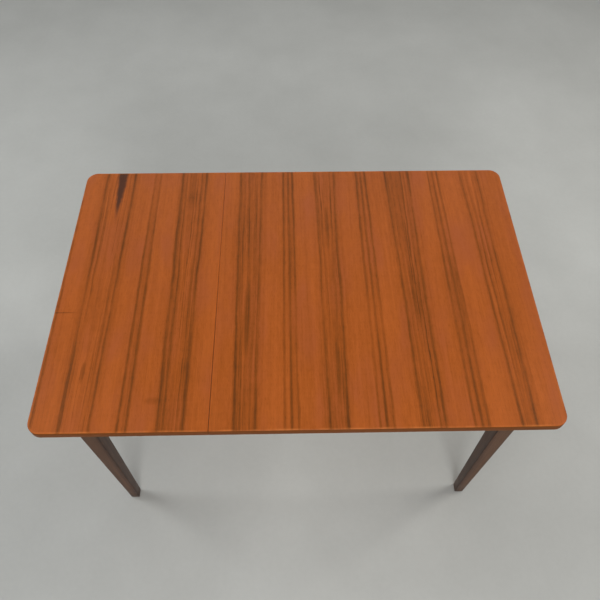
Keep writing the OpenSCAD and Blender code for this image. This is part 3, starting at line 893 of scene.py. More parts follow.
class Bench:
    """Turns mesh data and CAD nodes into finished pieces."""

    merge = 1e-6
    level = 1e-5
    flat_angle = math.radians(0.4)
    sharp_angle = math.radians(35)

    @classmethod
    def from_node(cls, node: str) -> bmesh.types.BMesh:
        """Copies a CAD node's mesh and joins its loose triangles.

        Args:
            node: Name of the CAD node.

        Returns:
            The joined mesh.
        """
        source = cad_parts[node].data
        mesh = bmesh.new()
        corners = [mesh.verts.new(vertex.co) for vertex in source.vertices]
        for polygon in source.polygons:
            mesh.faces.new([corners[i] for i in polygon.vertices])
        bmesh.ops.remove_doubles(mesh, verts=mesh.verts, dist=cls.merge)
        return mesh

    @staticmethod
    def islands(mesh: bmesh.types.BMesh) -> list[list[Vector]]:
        """Points of each separate solid in a mesh.

        Args:
            mesh: Joined mesh.

        Returns:
            One list of points for each solid.
        """
        left = dict.fromkeys(mesh.verts)
        groups = []
        while left:
            wave = [left.popitem()[0]]
            group = []
            while wave:
                vertex = wave.pop()
                group.append(vertex.co.copy())
                for edge in vertex.link_edges:
                    other = edge.other_vert(vertex)
                    if other in left:
                        del left[other]
                        wave.append(other)
            groups.append(group)
        return groups

    @classmethod
    def pins(cls, node: str) -> list[Pin]:
        """Reads the places of turned pieces from a CAD node.

        Args:
            node: Node that holds screws, dowels, pegs or bolts.

        Returns:
            One pin for each, with its head at the wider end.
        """
        mesh = cls.from_node(node)
        found = []
        for points in cls.islands(mesh):
            aim = cls._axis(points)
            centre = sum(points, Vector()) / len(points)
            reach = [(p - centre).dot(aim) for p in points]
            low, high = min(reach), max(reach)
            middle = cls._on_axis(points, aim)
            wide_low = cls._width(points, middle, aim, low, centre)
            wide_high = cls._width(points, middle, aim, high, centre)
            base = middle + aim * (centre - middle).dot(aim)
            if wide_high > wide_low + cls.level:
                head, aim = base + aim * high, -aim
            else:
                head = base + aim * low
            found.append(Pin(head, aim, high - low, max(wide_low, wide_high)))
        mesh.free()
        return sorted(found, key=lambda pin: tuple(round(c, 5) for c in pin.head))

    @staticmethod
    def _axis(points: Sequence[Vector]) -> Vector:
        """Axis of a turned piece: the way in which its points spread unlike the other two."""
        spread, ways = np.linalg.eigh(np.cov(np.array(points).T))
        lone = 2 if spread[2] - spread[1] > spread[1] - spread[0] else 0
        way = Vector(round(float(c), 4) for c in ways[:, lone]).normalized()
        return way if max(way, key=abs) > 0 else -way

    @staticmethod
    def _on_axis(points: Sequence[Vector], aim: Vector) -> Vector:
        """A point on the axis: the middle of the piece's box across its axis."""
        side = aim.orthogonal().normalized()
        other = aim.cross(side)
        middle = Vector()
        for direction in (side, other):
            reach = [p.dot(direction) for p in points]
            middle += direction * (min(reach) + max(reach)) / 2
        return middle

    @classmethod
    def _width(
        cls, points: Sequence[Vector], middle: Vector, aim: Vector, end: float, centre: Vector
    ) -> float:
        """Radius of the ring of points at one end of a turned piece."""
        ring = [p for p in points if abs((p - centre).dot(aim) - end) < cls.level]
        return max(((p - middle) - aim * (p - middle).dot(aim)).length for p in ring)

    @staticmethod
    def loft(
        mesh: bmesh.types.BMesh,
        rings: Sequence[Sequence[Vector]],
        layer: bmesh.types.BMLayerItem | None = None,
        weights: Callable[[int, int], float] | None = None,
    ) -> None:
        """Skins closed rings from first to last and caps both ends.

        Args:
            mesh: Mesh to add to.
            rings: Rings with equal numbers of points, in order.
            layer: Vertex layer to fill.
            weights: Gives the number to store for a ring and a point of it.
        """
        made = []
        for number, ring in enumerate(rings):
            corners = [mesh.verts.new(point) for point in ring]
            if layer is not None and weights is not None:
                for place, corner in enumerate(corners):
                    corner[layer] = weights(number, place)
            made.append(corners)
        count = len(made[0])
        for lower, upper in zip(made, made[1:]):
            for i in range(count):
                j = (i + 1) % count
                mesh.faces.new((lower[i], lower[j], upper[j], upper[i]))
        mesh.faces.new(list(reversed(made[0])))
        mesh.faces.new(made[-1])

    @staticmethod
    def sweep(mesh: bmesh.types.BMesh, path: Path, profile: Sequence[Point2]) -> None:
        """Runs a closed profile along an open path, with a UV map along the strip.

        Args:
            mesh: Mesh to add to.
            path: Gives the path's points at an inset from the edge.
            profile: Insets and heights round the profile.
        """
        layer = mesh.loops.layers.uv.verify()
        rows = [[Vector((x, y, z)) for x, y in path(inset)] for inset, z in profile]
        length = [0.0]
        for a, b in zip(rows[0], rows[0][1:]):
            length.append(length[-1] + (b - a).length)
        around = [0.0]
        for (a, za), (b, zb) in zip(profile, list(profile[1:]) + [profile[0]]):
            around.append(around[-1] + math.hypot(b - a, zb - za))
        grid = [[mesh.verts.new(point) for point in row] for row in rows]
        total = len(grid)
        for j in range(total):
            k = (j + 1) % total
            for i in range(len(length) - 1):
                face = mesh.faces.new((grid[j][i], grid[j][i + 1], grid[k][i + 1], grid[k][i]))
                spots = ((i, j), (i + 1, j), (i + 1, j + 1), (i, j + 1))
                for loop, (s, t) in zip(face.loops, spots):
                    loop[layer].uv = (length[s], around[t])
        for end in (0, len(length) - 1):
            cap = [row[end] for row in grid]
            face = mesh.faces.new(cap if end else list(reversed(cap)))
            for loop, (inset, z) in zip(face.loops, profile if end else reversed(profile)):
                loop[layer].uv = (length[end] + inset, z)

    @classmethod
    def ease(cls, mesh: bmesh.types.BMesh, width: float, shortest: float) -> None:
        """Rounds the long outer edges of a piece, as sandpaper does.

        Args:
            mesh: Joined mesh of the piece.
            width: Width of the rounding.
            shortest: Edges shorter than this stay sharp.
        """
        bmesh.ops.dissolve_limit(
            mesh, angle_limit=cls.flat_angle, verts=mesh.verts, edges=mesh.edges
        )
        chosen = [
            edge for edge in mesh.edges
            if len(edge.link_faces) == 2 and edge.is_convex
            and edge.calc_length() > shortest and edge.calc_face_angle() > cls.sharp_angle
        ]
        bmesh.ops.bevel(
            mesh, geom=chosen, offset=width, segments=2, profile=0.5,
            affect="EDGES", clamp_overlap=True,
        )

    @staticmethod
    def piece(
        mesh: bmesh.types.BMesh, name: str, finish: Finish, crease: float = 32.0
    ) -> bpy.types.Object:
        """Makes an object of a mesh, smooth apart from its sharp edges.

        Args:
            mesh: Mesh, freed here.
            name: Name of the piece.
            finish: Finish of the whole piece.
            crease: Edges sharper than this angle in degrees stay sharp.

        Returns:
            The object, at the origin.
        """
        bmesh.ops.recalc_face_normals(mesh, faces=mesh.faces)
        for face in mesh.faces:
            face.smooth = True
        for edge in mesh.edges:
            if len(edge.link_faces) == 2:
                edge.smooth = edge.calc_face_angle() < math.radians(crease)
        data = bpy.data.meshes.new(name)
        mesh.to_mesh(data)
        mesh.free()
        data.materials.append(finish.material())
        made = bpy.data.objects.new(name, data)
        bpy.context.scene.collection.objects.link(made)
        return made

    @staticmethod
    def fit(piece: bpy.types.Object, body: str, slot: Slot, *nodes: str) -> bpy.types.Object:
        """Sets a piece in the frame in place of CAD nodes.

        Args:
            piece: Finished piece.
            body: Body that it rides on.
            slot: Material slot. Not used.
            nodes: CAD nodes that it stands for.

        Returns:
            The piece.
        """
        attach(piece, body)
        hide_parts(*nodes)
        LOG.info("%s: %d faces on %s", piece.name, len(piece.data.polygons), body)
        return piece

    @staticmethod
    def dress(node: str, finish: Finish) -> None:
        """Gives a CAD node its finish."""
        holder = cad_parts[node]
        if not holder.material_slots:
            holder.data.materials.append(None)
        for slot in holder.material_slots:
            slot.material = finish.material()
        LOG.info("%s: dressed in %s", node, finish.name)

    @classmethod
    def eased(
        cls, node: str, body: str, slot: Slot, finish: Finish,
        width: float = 0.8 * MM, shortest: float = 14 * MM,
    ) -> bpy.types.Object:
        """A CAD node with its long edges rounded.

        Args:
            node: CAD node.
            body: Body that it belongs to.
            slot: Material slot.
            finish: Finish.
            width: Width of the rounding.
            shortest: Edges shorter than this stay sharp.

        Returns:
            The piece.
        """
        mesh = cls.from_node(node)
        cls.ease(mesh, width, shortest)
        return cls.fit(cls.piece(mesh, f"{node}_eased", finish), body, slot, node)


class ShapeTree(Tree):
    """A Geometry Nodes tree that sets one turned shape on each point of a mesh."""

    def __init__(self, name: str, sizes: Mapping[str, float]) -> None:
        """Starts a tree with its inputs.

        Args:
            name: Name of the tree.
            sizes: Names and defaults of its size inputs, the widest diameter first.
        """
        super().__init__(bpy.data.node_groups.new(name, "GeometryNodeTree"))
        self.widest = next(iter(sizes))
        self._socket("Geometry", "Geometry")
        for key, value in sizes.items():
            self._socket(key, "Float").default_value = value
        self._socket("Seed", "Int")
        self._socket("Material", "Material")
        self._socket("Geometry", "Geometry", "OUTPUT")
        self.entry = self.node("NodeGroupInput")

    def _socket(
        self, name: str, kind: str, way: str = "INPUT"
    ) -> bpy.types.NodeTreeInterfaceSocket:
        """Adds an input or an output to the tree."""
        return self.tree.interface.new_socket(
            name, in_out=way, socket_type=f"NodeSocket{kind}"
        )

    def sizes(self, *names: str) -> list[Value]:
        """Some of the tree's size inputs."""
        return [Value(self, self.entry.outputs[name]) for name in names]

    def close(self, shape: bpy.types.NodeSocket) -> None:
        """Sets the shape on the points, then realizes and paints it.

        Args:
            shape: Mesh of one piece, its head at the origin and its length up Z.
        """
        aim = self.node(
            "GeometryNodeInputNamedAttribute", {"data_type": "FLOAT_VECTOR"}, {"Name": "aim"}
        )
        turned = self.node(
            "FunctionNodeAlignRotationToVector", {"axis": "Z"},
            {"Vector": aim.outputs["Attribute"]},
        )
        chance = self.node(
            "FunctionNodeRandomValue", {"data_type": "FLOAT"},
            {2: 0.0, 3: math.tau, "Seed": self.entry.outputs["Seed"]},
        )
        spin = self.node(
            "FunctionNodeAxisAngleToRotation",
            sockets={"Axis": (0.0, 0.0, 1.0), "Angle": chance.outputs[1]},
        )
        both = self.node(
            "FunctionNodeRotateRotation", {"rotation_space": "LOCAL"},
            {0: turned.outputs[0], 1: spin.outputs[0]},
        )
        points = self.node(
            "GeometryNodeInstanceOnPoints",
            sockets={
                "Points": self.entry.outputs["Geometry"],
                "Instance": shape,
                "Rotation": both.outputs[0],
            },
        )
        real = self.node("GeometryNodeRealizeInstances", sockets={0: points.outputs[0]})
        painted = self.node(
            "GeometryNodeSetMaterial",
            sockets={"Geometry": real.outputs[0], "Material": self.entry.outputs["Material"]},
        )
        self.node("NodeGroupOutput", sockets={0: painted.outputs[0]})

    def lathe(
        self,
        around: int,
        rings: int,
        length: "Value | float",
        radius: Callable[[Value, Value], Value],
        spacing: float = 1.0,
    ) -> bpy.types.NodeSocket:
        """A bar whose radius follows a rule of height and angle.

        Args:
            around: Points round the bar.
            rings: Segments along it.
            length: Its length, up Z from the origin.
            radius: Gives the radius from the height and the angle.
            spacing: Power that crowds the rings towards the start.

        Returns:
            The bar's mesh.
        """
        bar = self.node(
            "GeometryNodeMeshCylinder", {"fill_type": "NGON"},
            {"Vertices": around, "Side Segments": rings, "Radius": 1.0, "Depth": 1.0},
        )
        place = self.node("GeometryNodeInputPosition")
        x, y, z = self.split(place.outputs[0])
        share = (z + 0.5).unit()
        height = share ** spacing * length
        angle = self.math("ARCTAN2", y, x)
        reach = radius(height, angle)
        spot = self.node("ShaderNodeCombineXYZ", sockets={0: x * reach, 1: y * reach, 2: height})
        moved = self.node(
            "GeometryNodeSetPosition",
            sockets={"Geometry": bar.outputs["Mesh"], "Position": spot.outputs[0]},
        )
        return moved.outputs[0]


class Turnery:
    """Screws, dowels, pegs, bolts and glides, each set by a tree of its own."""

    head_ease = 0.1 * MM
    point_share = 0.25
    slot_reach = 3.0
    dowel_drop = 0.8
    bolt_drop = 0.7
    dome_drop = 1.3
    past_dome = 1.0001

    def __init__(self) -> None:
        """Builds the trees."""
        self.screw = self._screw_tree()
        self.dowel = self._dowel_tree()
        self.bolt = self._bolt_tree()
        self.glide = self._glide_tree()

    def _screw_tree(self) -> ShapeTree:
        """Slotted countersunk wood screw.

        Returns:
            The tree.
        """
        made = ShapeTree("countersunk_screw", {
            "Head Diameter": 8 * MM, "Shank Diameter": 4 * MM, "Length": 30 * MM,
            "Rim": 0.25 * MM, "Tip": 4 * MM, "Slot Width": 1.1 * MM, "Slot Depth": 1.0 * MM,
        })
        head, shank, length, rim, tip, width, depth = made.sizes(
            "Head Diameter", "Shank Diameter", "Length", "Rim", "Tip", "Slot Width", "Slot Depth"
        )
        head, shank = head / 2, shank / 2

        def radius(height: Value, angle: Value) -> Value:
            """Head, shank and point in one line."""
            taper = (length - height) / tip * (1.0 - self.point_share)
            point = (taper + self.point_share).unit() * shank
            flare = head - (height - rim).most(0.0) - (self.head_ease - height).most(0.0)
            return point.most(flare)

        bar = made.lathe(24, 22, length, radius, 2.2)
        block = made.node("ShaderNodeCombineXYZ", sockets={
            0: head * self.slot_reach, 1: width, 2: depth * 2.0,
        })
        cutter = made.node("GeometryNodeMeshCube", sockets={"Size": block.outputs[0]})
        cut = made.node("GeometryNodeMeshBoolean", {"operation": "DIFFERENCE"}, {
            0: bar, 1: cutter.outputs["Mesh"],
        })
        made.close(cut.outputs["Mesh"])
        return made

    def _dowel_tree(self) -> ShapeTree:
        """Fluted dowel with rounded ends.

        Returns:
            The tree.
        """
        made = ShapeTree("fluted_dowel", {
            "Diameter": 8 * MM, "Length": 30 * MM, "Round": 1.2 * MM,
            "Flutes": 14.0, "Flute Depth": 0.25 * MM,
        })
        wide, length, soft, flutes, depth = made.sizes(
            "Diameter", "Length", "Round", "Flutes", "Flute Depth"
        )

        def radius(height: Value, angle: Value) -> Value:
            """Straight bar with a wave round it and rounded ends."""
            near = height.least(length - height)
            drop = (soft - near).most(0.0) ** 2.0 / soft * self.dowel_drop
            wave = (made.math("COSINE", angle * flutes) * 0.5 + 0.5) * depth
            return wide / 2 - drop - wave

        made.close(made.lathe(84, 26, length, radius))
        return made

    def _bolt_tree(self) -> ShapeTree:
        """Threaded bolt.

        Returns:
            The tree.
        """
        made = ShapeTree("threaded_bolt", {
            "Diameter": 8 * MM, "Length": 90 * MM, "Pitch": 1.5 * MM, "Thread Depth": 0.7 * MM,
            "Round": 1.0 * MM,
        })
        wide, length, pitch, depth, soft = made.sizes(
            "Diameter", "Length", "Pitch", "Thread Depth", "Round"
        )

        def radius(height: Value, angle: Value) -> Value:
            """Round bar with one thread wound round it."""
            turn = height / pitch + angle / math.tau
            groove = turn.fold(0.5) * 2.0
            near = height.least(length - height)
            return wide / 2 - groove * depth - (soft - near).most(0.0) * self.bolt_drop

        made.close(made.lathe(28, 300, length, radius))
        return made

    def _glide_tree(self) -> ShapeTree:
        """Domed glide with its nail.

        Returns:
            The tree.
        """
        made = ShapeTree("domed_glide", {
            "Diameter": 18 * MM, "Height": 3 * MM, "Nail Diameter": 3 * MM, "Length": 17 * MM,
            "Dome": 2.2 * MM,
        })
        wide, high, nail, length, dome = made.sizes(
            "Diameter", "Height", "Nail Diameter", "Length", "Dome"
        )

        def radius(height: Value, angle: Value) -> Value:
            """Dome under the foot, then the nail."""
            low = (1.0 - height / dome).unit()
            disc = wide / 2 - low ** 2.0 * dome * self.dome_drop
            inside = (height > high * self.past_dome) * wide
            point = ((length - height) / nail).unit() * (nail / 2)
            return point.most(disc - inside)

        made.close(made.lathe(40, 60, length, radius, 2.0))
        return made

    @staticmethod
    def turn(
        tree: ShapeTree,
        name: str,
        pins: Sequence[Pin],
        finish: Finish,
        sizes: Mapping[str, float],
        seed: int,
        crease: float,
    ) -> bpy.types.Object:
        """Sets a tree's shape at the places of CAD pieces and makes it a plain mesh.

        Args:
            tree: Tree of the shape.
            name: Name of the piece.
            pins: Places and directions.
            finish: Finish.
            sizes: Size inputs that differ from the tree's own.
            seed: Seed of the turns about each axis.
            crease: Edges sharper than this angle in degrees stay sharp.

        Returns:
            The object.
        """
        points = bpy.data.meshes.new(f"{name}_points")
        points.from_pydata([tuple(pin.head) for pin in pins], [], [])
        aims = points.attributes.new("aim", "FLOAT_VECTOR", "POINT")
        for item, pin in zip(aims.data, pins):
            item.vector = pin.aim
        holder = bpy.data.objects.new(f"{name}_points", points)
        bpy.context.scene.collection.objects.link(holder)
        modifier = holder.modifiers.new(tree.tree.name, "NODES")
        modifier.node_group = tree.tree
        wanted = {**sizes, "Seed": seed, "Material": finish.material()}
        for item in tree.tree.interface.items_tree:
            if item.in_out == "INPUT" and item.name in wanted:
                modifier[item.identifier] = wanted[item.name]
        graph = bpy.context.evaluated_depsgraph_get()
        data = bpy.data.meshes.new_from_object(
            holder.evaluated_get(graph), preserve_all_data_layers=False, depsgraph=graph
        )
        holder.modifiers.remove(modifier)
        bpy.data.objects.remove(holder)
        mesh = bmesh.new()
        mesh.from_mesh(data)
        bpy.data.meshes.remove(data)
        bmesh.ops.remove_doubles(mesh, verts=mesh.verts, dist=Bench.merge)
        for face in mesh.faces:
            face.material_index = 0
        return Bench.piece(mesh, name, finish, crease)

    def fill(
        self,
        tree: ShapeTree,
        node: str,
        ending: str,
        body: str,
        slot: Slot,
        finish: Finish,
        seed: int,
        sizes: Mapping[str, float] | None = None,
        crease: float = 40.0,
    ) -> None:
        """Turned pieces in place of a CAD node.

        Args:
            tree: Tree of the shape.
            node: CAD node, which gives the places, the diameter and the length.
            ending: Added to the node's name for the name of the piece.
            body: Body that they belong to.
            slot: Material slot.
            finish: Finish.
            seed: Seed of the turns about each axis.
            sizes: Other size inputs.
            crease: Edges sharper than this angle in degrees stay sharp.
        """
        pins = Bench.pins(node)
        first = pins[0]
        sizes = {tree.widest: first.radius * 2, "Length": first.length, **(sizes or {})}
        made = self.turn(tree, f"{node}_{ending}", pins, finish, sizes, seed, crease)
        Bench.fit(made, body, slot, node)


@dataclass
class Board:
    """Sizes that every board of the top shares."""

    name: str
    body: str
    corner: float = 30 * MM
    arris: float = 2.0 * MM
    seam_share: float = 0.25
    under_arris: float = 0.8 * MM
    under_share: float = 0.45
    lip: float = 6 * MM
    steps: int = 6
    lip_steps: int = 4
    corner_steps: int = 12
    flat_rings: tuple[float, ...] = (1.6, 3.0)
    # Outline points that get no painted highlight.
    fresh: tuple[int, ...] = ()
    veneer: Finish = FIXED_VENEER
    low: Vector = field(init=False)
    high: Vector = field(init=False)
    face_z: float = field(init=False)
    back_z: float = field(init=False)

    def __post_init__(self) -> None:
        """Reads the board's place from the CAD nodes."""
        self.low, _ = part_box(f"{self.name}_backing_veneer")
        _, self.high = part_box(f"{self.name}_face_veneer")
        self.face_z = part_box(f"{self.name}_face_veneer")[0].z
        self.back_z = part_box(f"{self.name}_backing_veneer")[1].z

    def arc(self, height: float) -> float:
        """Inset of the rounded upper arris at a height."""
        up = max(0.0, height - (self.high.z - self.arris))
        return self.arris - math.sqrt(max(0.0, self.arris ** 2 - up ** 2))

    def face_levels(self) -> list[Point2]:
        """Insets and heights up the edge of the face veneer.

        Returns:
            From the glue line to the top face, ending in rings that keep it flat.
        """
        start = math.asin((self.face_z - self.high.z + self.arris) / self.arris)
        levels = []
        for i in range(self.steps + 1):
            angle = start + (math.pi / 2 - start) * i / self.steps
            levels.append((
                self.arris * (1 - math.cos(angle)),
                self.high.z - self.arris * (1 - math.sin(angle)),
            ))
        levels += [(self.arris * share, self.high.z) for share in self.flat_rings]
        return levels

    def outline(self, inset: float) -> list[Point2]:
        """Outline of the face veneer at an inset from its outer edge."""
        raise NotImplementedError

    def build_face(self) -> None:
        """Face veneer, rounded over, with its arris marked for a painted highlight that looks
        like edge rub.
        """
        mesh = bmesh.new()
        rings = [
            [Vector((x, y, height)) for x, y in self.outline(inset)]
            for inset, height in self.face_levels()
        ]
        layer = mesh.verts.layers.float.new(PAINTED_LIGHT_AND_ARRIS_LAYER)
        last = len(rings) - 1
        fresh = [number % len(rings[0]) for number in self.fresh]

        def rubbed_highlight(ring: int, point: int) -> float:
            """Strength of the painted highlight: most at the edge and none inside the flat rings
            or at the seam.
            """
            return 0.0 if point in fresh else min(1.0, (last - ring) / len(self.flat_rings))

        Bench.loft(mesh, rings, layer, rubbed_highlight)
        made = Bench.piece(mesh, f"{self.name}_face_rounded", self.veneer)
        Bench.fit(made, self.body, Slot.VENEER, f"{self.name}_face_veneer")

    def lip_profile(self) -> list[Point2]:
        """Insets and heights round the solid lipping.

        Returns:
            The closed profile, from the lower outer arris upwards.
        """
        base = self.high.z - self.arris
        rise = self.face_z - base
        outer = [
            (self.under_arris * self.under_share, self.back_z),
            (0.0, self.back_z + self.under_arris),
        ]
        for i in range(self.lip_steps + 1):
            height = base + rise * i / self.lip_steps
            outer.append((self.arc(height), height))
        return outer + [(self.lip, self.face_z), (self.lip, self.back_z)]


@dataclass
class TopSection(Board):
    """One section of the top, square at the seam and round at its other corners."""

    seam_side: int = -1
    seam_fade: float = 30 * MM
    seam_closed: float = 0.28 * MM
    seam_opened: float = 0.20 * MM
    seam_turn: float = 30 * MM
    fresh: tuple[int, ...] = (0, -2, -1)

    def edge(self, inset: float, seam_inset: float) -> list[Point2]:
        """The outline from the seam round the end and back, anticlockwise for the fixed one.

        Args:
            inset: Distance inside the outer edge.
            seam_inset: Distance inside the seam edge.

        Returns:
            The points.
        """
        fixed = self.seam_side < 0
        seam = (self.low.x if fixed else self.high.x) - self.seam_side * seam_inset
        end = self.high.x if fixed else self.low.x
        way = -self.seam_side
        radius = self.corner - inset
        fresh = seam + way * self.seam_fade
        points = [(seam, self.low.y + inset), (fresh, self.low.y + inset)]
        for sign, first in ((-1, -90.0), (1, 0.0)):
            centre_x = end - way * self.corner
            centre_y = (self.low.y + self.corner) if sign < 0 else (self.high.y - self.corner)
            for i in range(self.corner_steps + 1):
                angle = math.radians(first + 90.0 * i / self.corner_steps)
                points.append((
                    centre_x + way * radius * math.cos(angle),
                    centre_y + radius * math.sin(angle),
                ))
        points += [(fresh, self.high.y - inset), (seam, self.high.y - inset)]
        return points

    def outline(self, inset: float) -> list[Point2]:
        """Outline of the face veneer, with a seam that opens towards the front.

        Args:
            inset: Distance inside the outer edge.

        Returns:
            The points, ending in those of the seam.
        """
        points = self.edge(inset, inset * self.seam_share)
        front, back = points[0], points[-1]
        closed = back[0] + self.seam_side * self.seam_closed
        points[0] = (front[0] - self.seam_side * self.seam_opened, front[1])
        points[-1] = (closed, back[1])
        return points + [(closed, self.seam_turn)]

    def build_lipping(self) -> None:
        """Solid lipping bent round the outer edges."""
        mesh = bmesh.new()
        Bench.sweep(mesh, lambda inset: self.edge(inset, 0.0), self.lip_profile())
        made = Bench.piece(mesh, f"{self.name}_edge_rounded", EDGE_TEAK)
        made.data.uv_layers[0].name = STRIP_LAYER
        Bench.fit(made, self.body, Slot.LIPPING, f"{self.name}_edge_lipping")

    def build(self) -> None:
        """Builds and dresses the section."""
        self.build_face()
        self.build_lipping()
        Bench.dress(f"{self.name}_core", CORE)
        Bench.dress(f"{self.name}_backing_veneer", BACKING)
        Bench.dress(f"{self.name}_seam_lipping", SEAM_TEAK)


@dataclass
class LooseLeaf(Board):
    """The stored leaf, square at its corners."""

    veneer: Finish = LEAF_VENEER

    def outline(self, inset: float) -> list[Point2]:
        """Outline of the face veneer, rounded over most at the two ends."""
        side = inset * self.seam_share
        x0, x1 = self.low.x + inset, self.high.x - inset
        y0, y1 = self.low.y + side, self.high.y - side
        return [(x0, y0), (x1, y0), (x1, y1), (x0, y1)]

    def build_lippings(self) -> None:
        """Solid lippings at the two ends."""
        mesh = bmesh.new()
        profile = self.lip_profile()
        low, high = self.low, self.high
        Bench.sweep(
            mesh, lambda inset: [(high.x - inset, low.y), (high.x - inset, high.y)], profile
        )
        Bench.sweep(
            mesh, lambda inset: [(low.x + inset, high.y), (low.x + inset, low.y)], profile
        )
        made = Bench.piece(mesh, f"{self.name}_ends_rounded", EDGE_TEAK)
        made.data.uv_layers[0].name = STRIP_LAYER
        Bench.fit(made, self.body, Slot.LIPPING, f"{self.name}_end_lippings")

    def build(self) -> None:
        """Builds and dresses the leaf."""
        self.build_face()
        self.build_lippings()
        Bench.dress(f"{self.name}_core", LEAF_CORE)
        Bench.dress(f"{self.name}_backing_veneer", LEAF_BACKING)
        Bench.dress(f"{self.name}_seam_lippings", LEAF_SEAM_TEAK)


@dataclass
class Leg:
    """A square leg: a straight block at the frame and a taper below it."""

    name: str
    side_x: int
    side_y: int
    seed: float
    foot: float = 26 * MM
    taper_start: float = 1 * MM
    arris_block: float = 2.2 * MM
    arris_foot: float = 1.8 * MM
    foot_chamfer: float = 1.6 * MM
    foot_share: float = 0.5
    arris_fall: float = 0.2
    bolt_flat: float = 10 * MM
    flat_gap: float = 0.05 * MM
    top_chamfer: float = 0.6 * MM
    taper_steps: int = 8
    crease: float = 50.0
    # Reach and strengths of the darker arris; inner_shade paints shade over the whole inner side
    # face.
    shade_reach: float = 10 * MM
    outer_shade: float = 0.35
    inner_shade: float = 0.42
    steps: int = 4

    def section(self, middle: Vector, half: float, arris: float, flat: float) -> list[Point2]:
        """Square with rounded corners.

        Args:
            middle: Axis of the leg.
            half: Half of its side.
            arris: Radius of the rounded corners.
            flat: Width of the flat cut on the inner corner, or zero.

        Returns:
            The points, anticlockwise.
        """
        points = []
        for quarter, (sx, sy) in enumerate(CORNERS):
            if flat and sx == -self.side_x and sy == -self.side_y:
                ends = [(half, half - flat), (half - flat, half)]
                (ax, ay), (bx, by) = ends if sx == sy else ends[::-1]
                corner = [
                    (sx * (ax + (bx - ax) * t), sy * (ay + (by - ay) * t)) for t in self.shares()
                ]
            else:
                angles = [math.radians(90 * (quarter + t)) for t in self.shares()]
                corner = [
                    (sx * (half - arris) + arris * math.cos(a),
                     sy * (half - arris) + arris * math.sin(a)) for a in angles
                ]
            turn = math.radians(90 * quarter)
            way = Vector((-math.sin(turn), math.cos(turn))) * self.shade_reach
            after = Vector((-math.cos(turn), -math.sin(turn))) * self.shade_reach
            first, last = Vector(corner[0]) - way, Vector(corner[-1]) + after
            for x, y in (first, *corner, last):
                points.append((middle.x + x, middle.y + y))
        return points

    def shares(self) -> list[float]:
        """Shares of the way round a corner."""
        return [i / self.steps for i in range(self.steps + 1)]

    def weights(self) -> list[float]:
        """Strength of the darker arris at each point of a section, most at the inner one, with
        painted shade over the inner side face.
        """
        across = [1.0 - self.arris_fall * abs(2.0 * t - 1.0) for t in self.shares()]
        corner = [0.0, *across, 0.0]
        inner = (-self.side_x, self.side_y)
        points = []
        for place in CORNERS:
            strength = 1.0 if place == inner else self.outer_shade
            shares = [strength * share for share in corner]
            if place[0] == -self.side_x:
                shares[0 if place[0] == place[1] else -1] = self.inner_shade
            points += shares
        return points

    def build(self) -> None:
        """Builds and dresses the leg."""
        low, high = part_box(self.name)
        block_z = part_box("apron_front")[0].z
        middle = (low + high) / 2
        half, foot = (high.x - low.x) / 2, self.foot / 2
        levels = [
            (low.z, foot - self.foot_chamfer, self.arris_foot * self.foot_share, 0.0),
            (low.z + self.foot_chamfer, foot, self.arris_foot, 0.0),
        ]
        start = low.z + self.taper_start
        for i in range(1, self.taper_steps + 1):
            share = i / self.taper_steps
            side = foot + (half - foot) * share
            arris = self.arris_foot + (self.arris_block - self.arris_foot) * share
            levels.append((start + (block_z - start) * share, side, arris, 0.0))
        for height, side in (
            (block_z + self.flat_gap, half),
            (high.z - self.top_chamfer, half),
            (high.z, half - self.top_chamfer),
        ):
            levels.append((height, side, self.arris_block, self.bolt_flat))
        mesh = bmesh.new()
        layer = mesh.verts.layers.float.new(PAINTED_LIGHT_AND_ARRIS_LAYER)
        rings = [
            [Vector((x, y, z)) for x, y in self.section(middle, side, arris, flat)]
            for z, side, arris, flat in levels
        ]
        # Arris layer: darker arrises and painted shade on the inner side faces.
        weights = self.weights()
        Bench.loft(mesh, rings, layer, lambda ring, point: weights[point])
        finish = dark_wood(Grain.ALONG_Z, self.seed)
        made = Bench.piece(mesh, f"{self.name}_turned_edges", finish, self.crease)
        Bench.fit(made, FRAME_BODY, Slot.DARK, self.name)


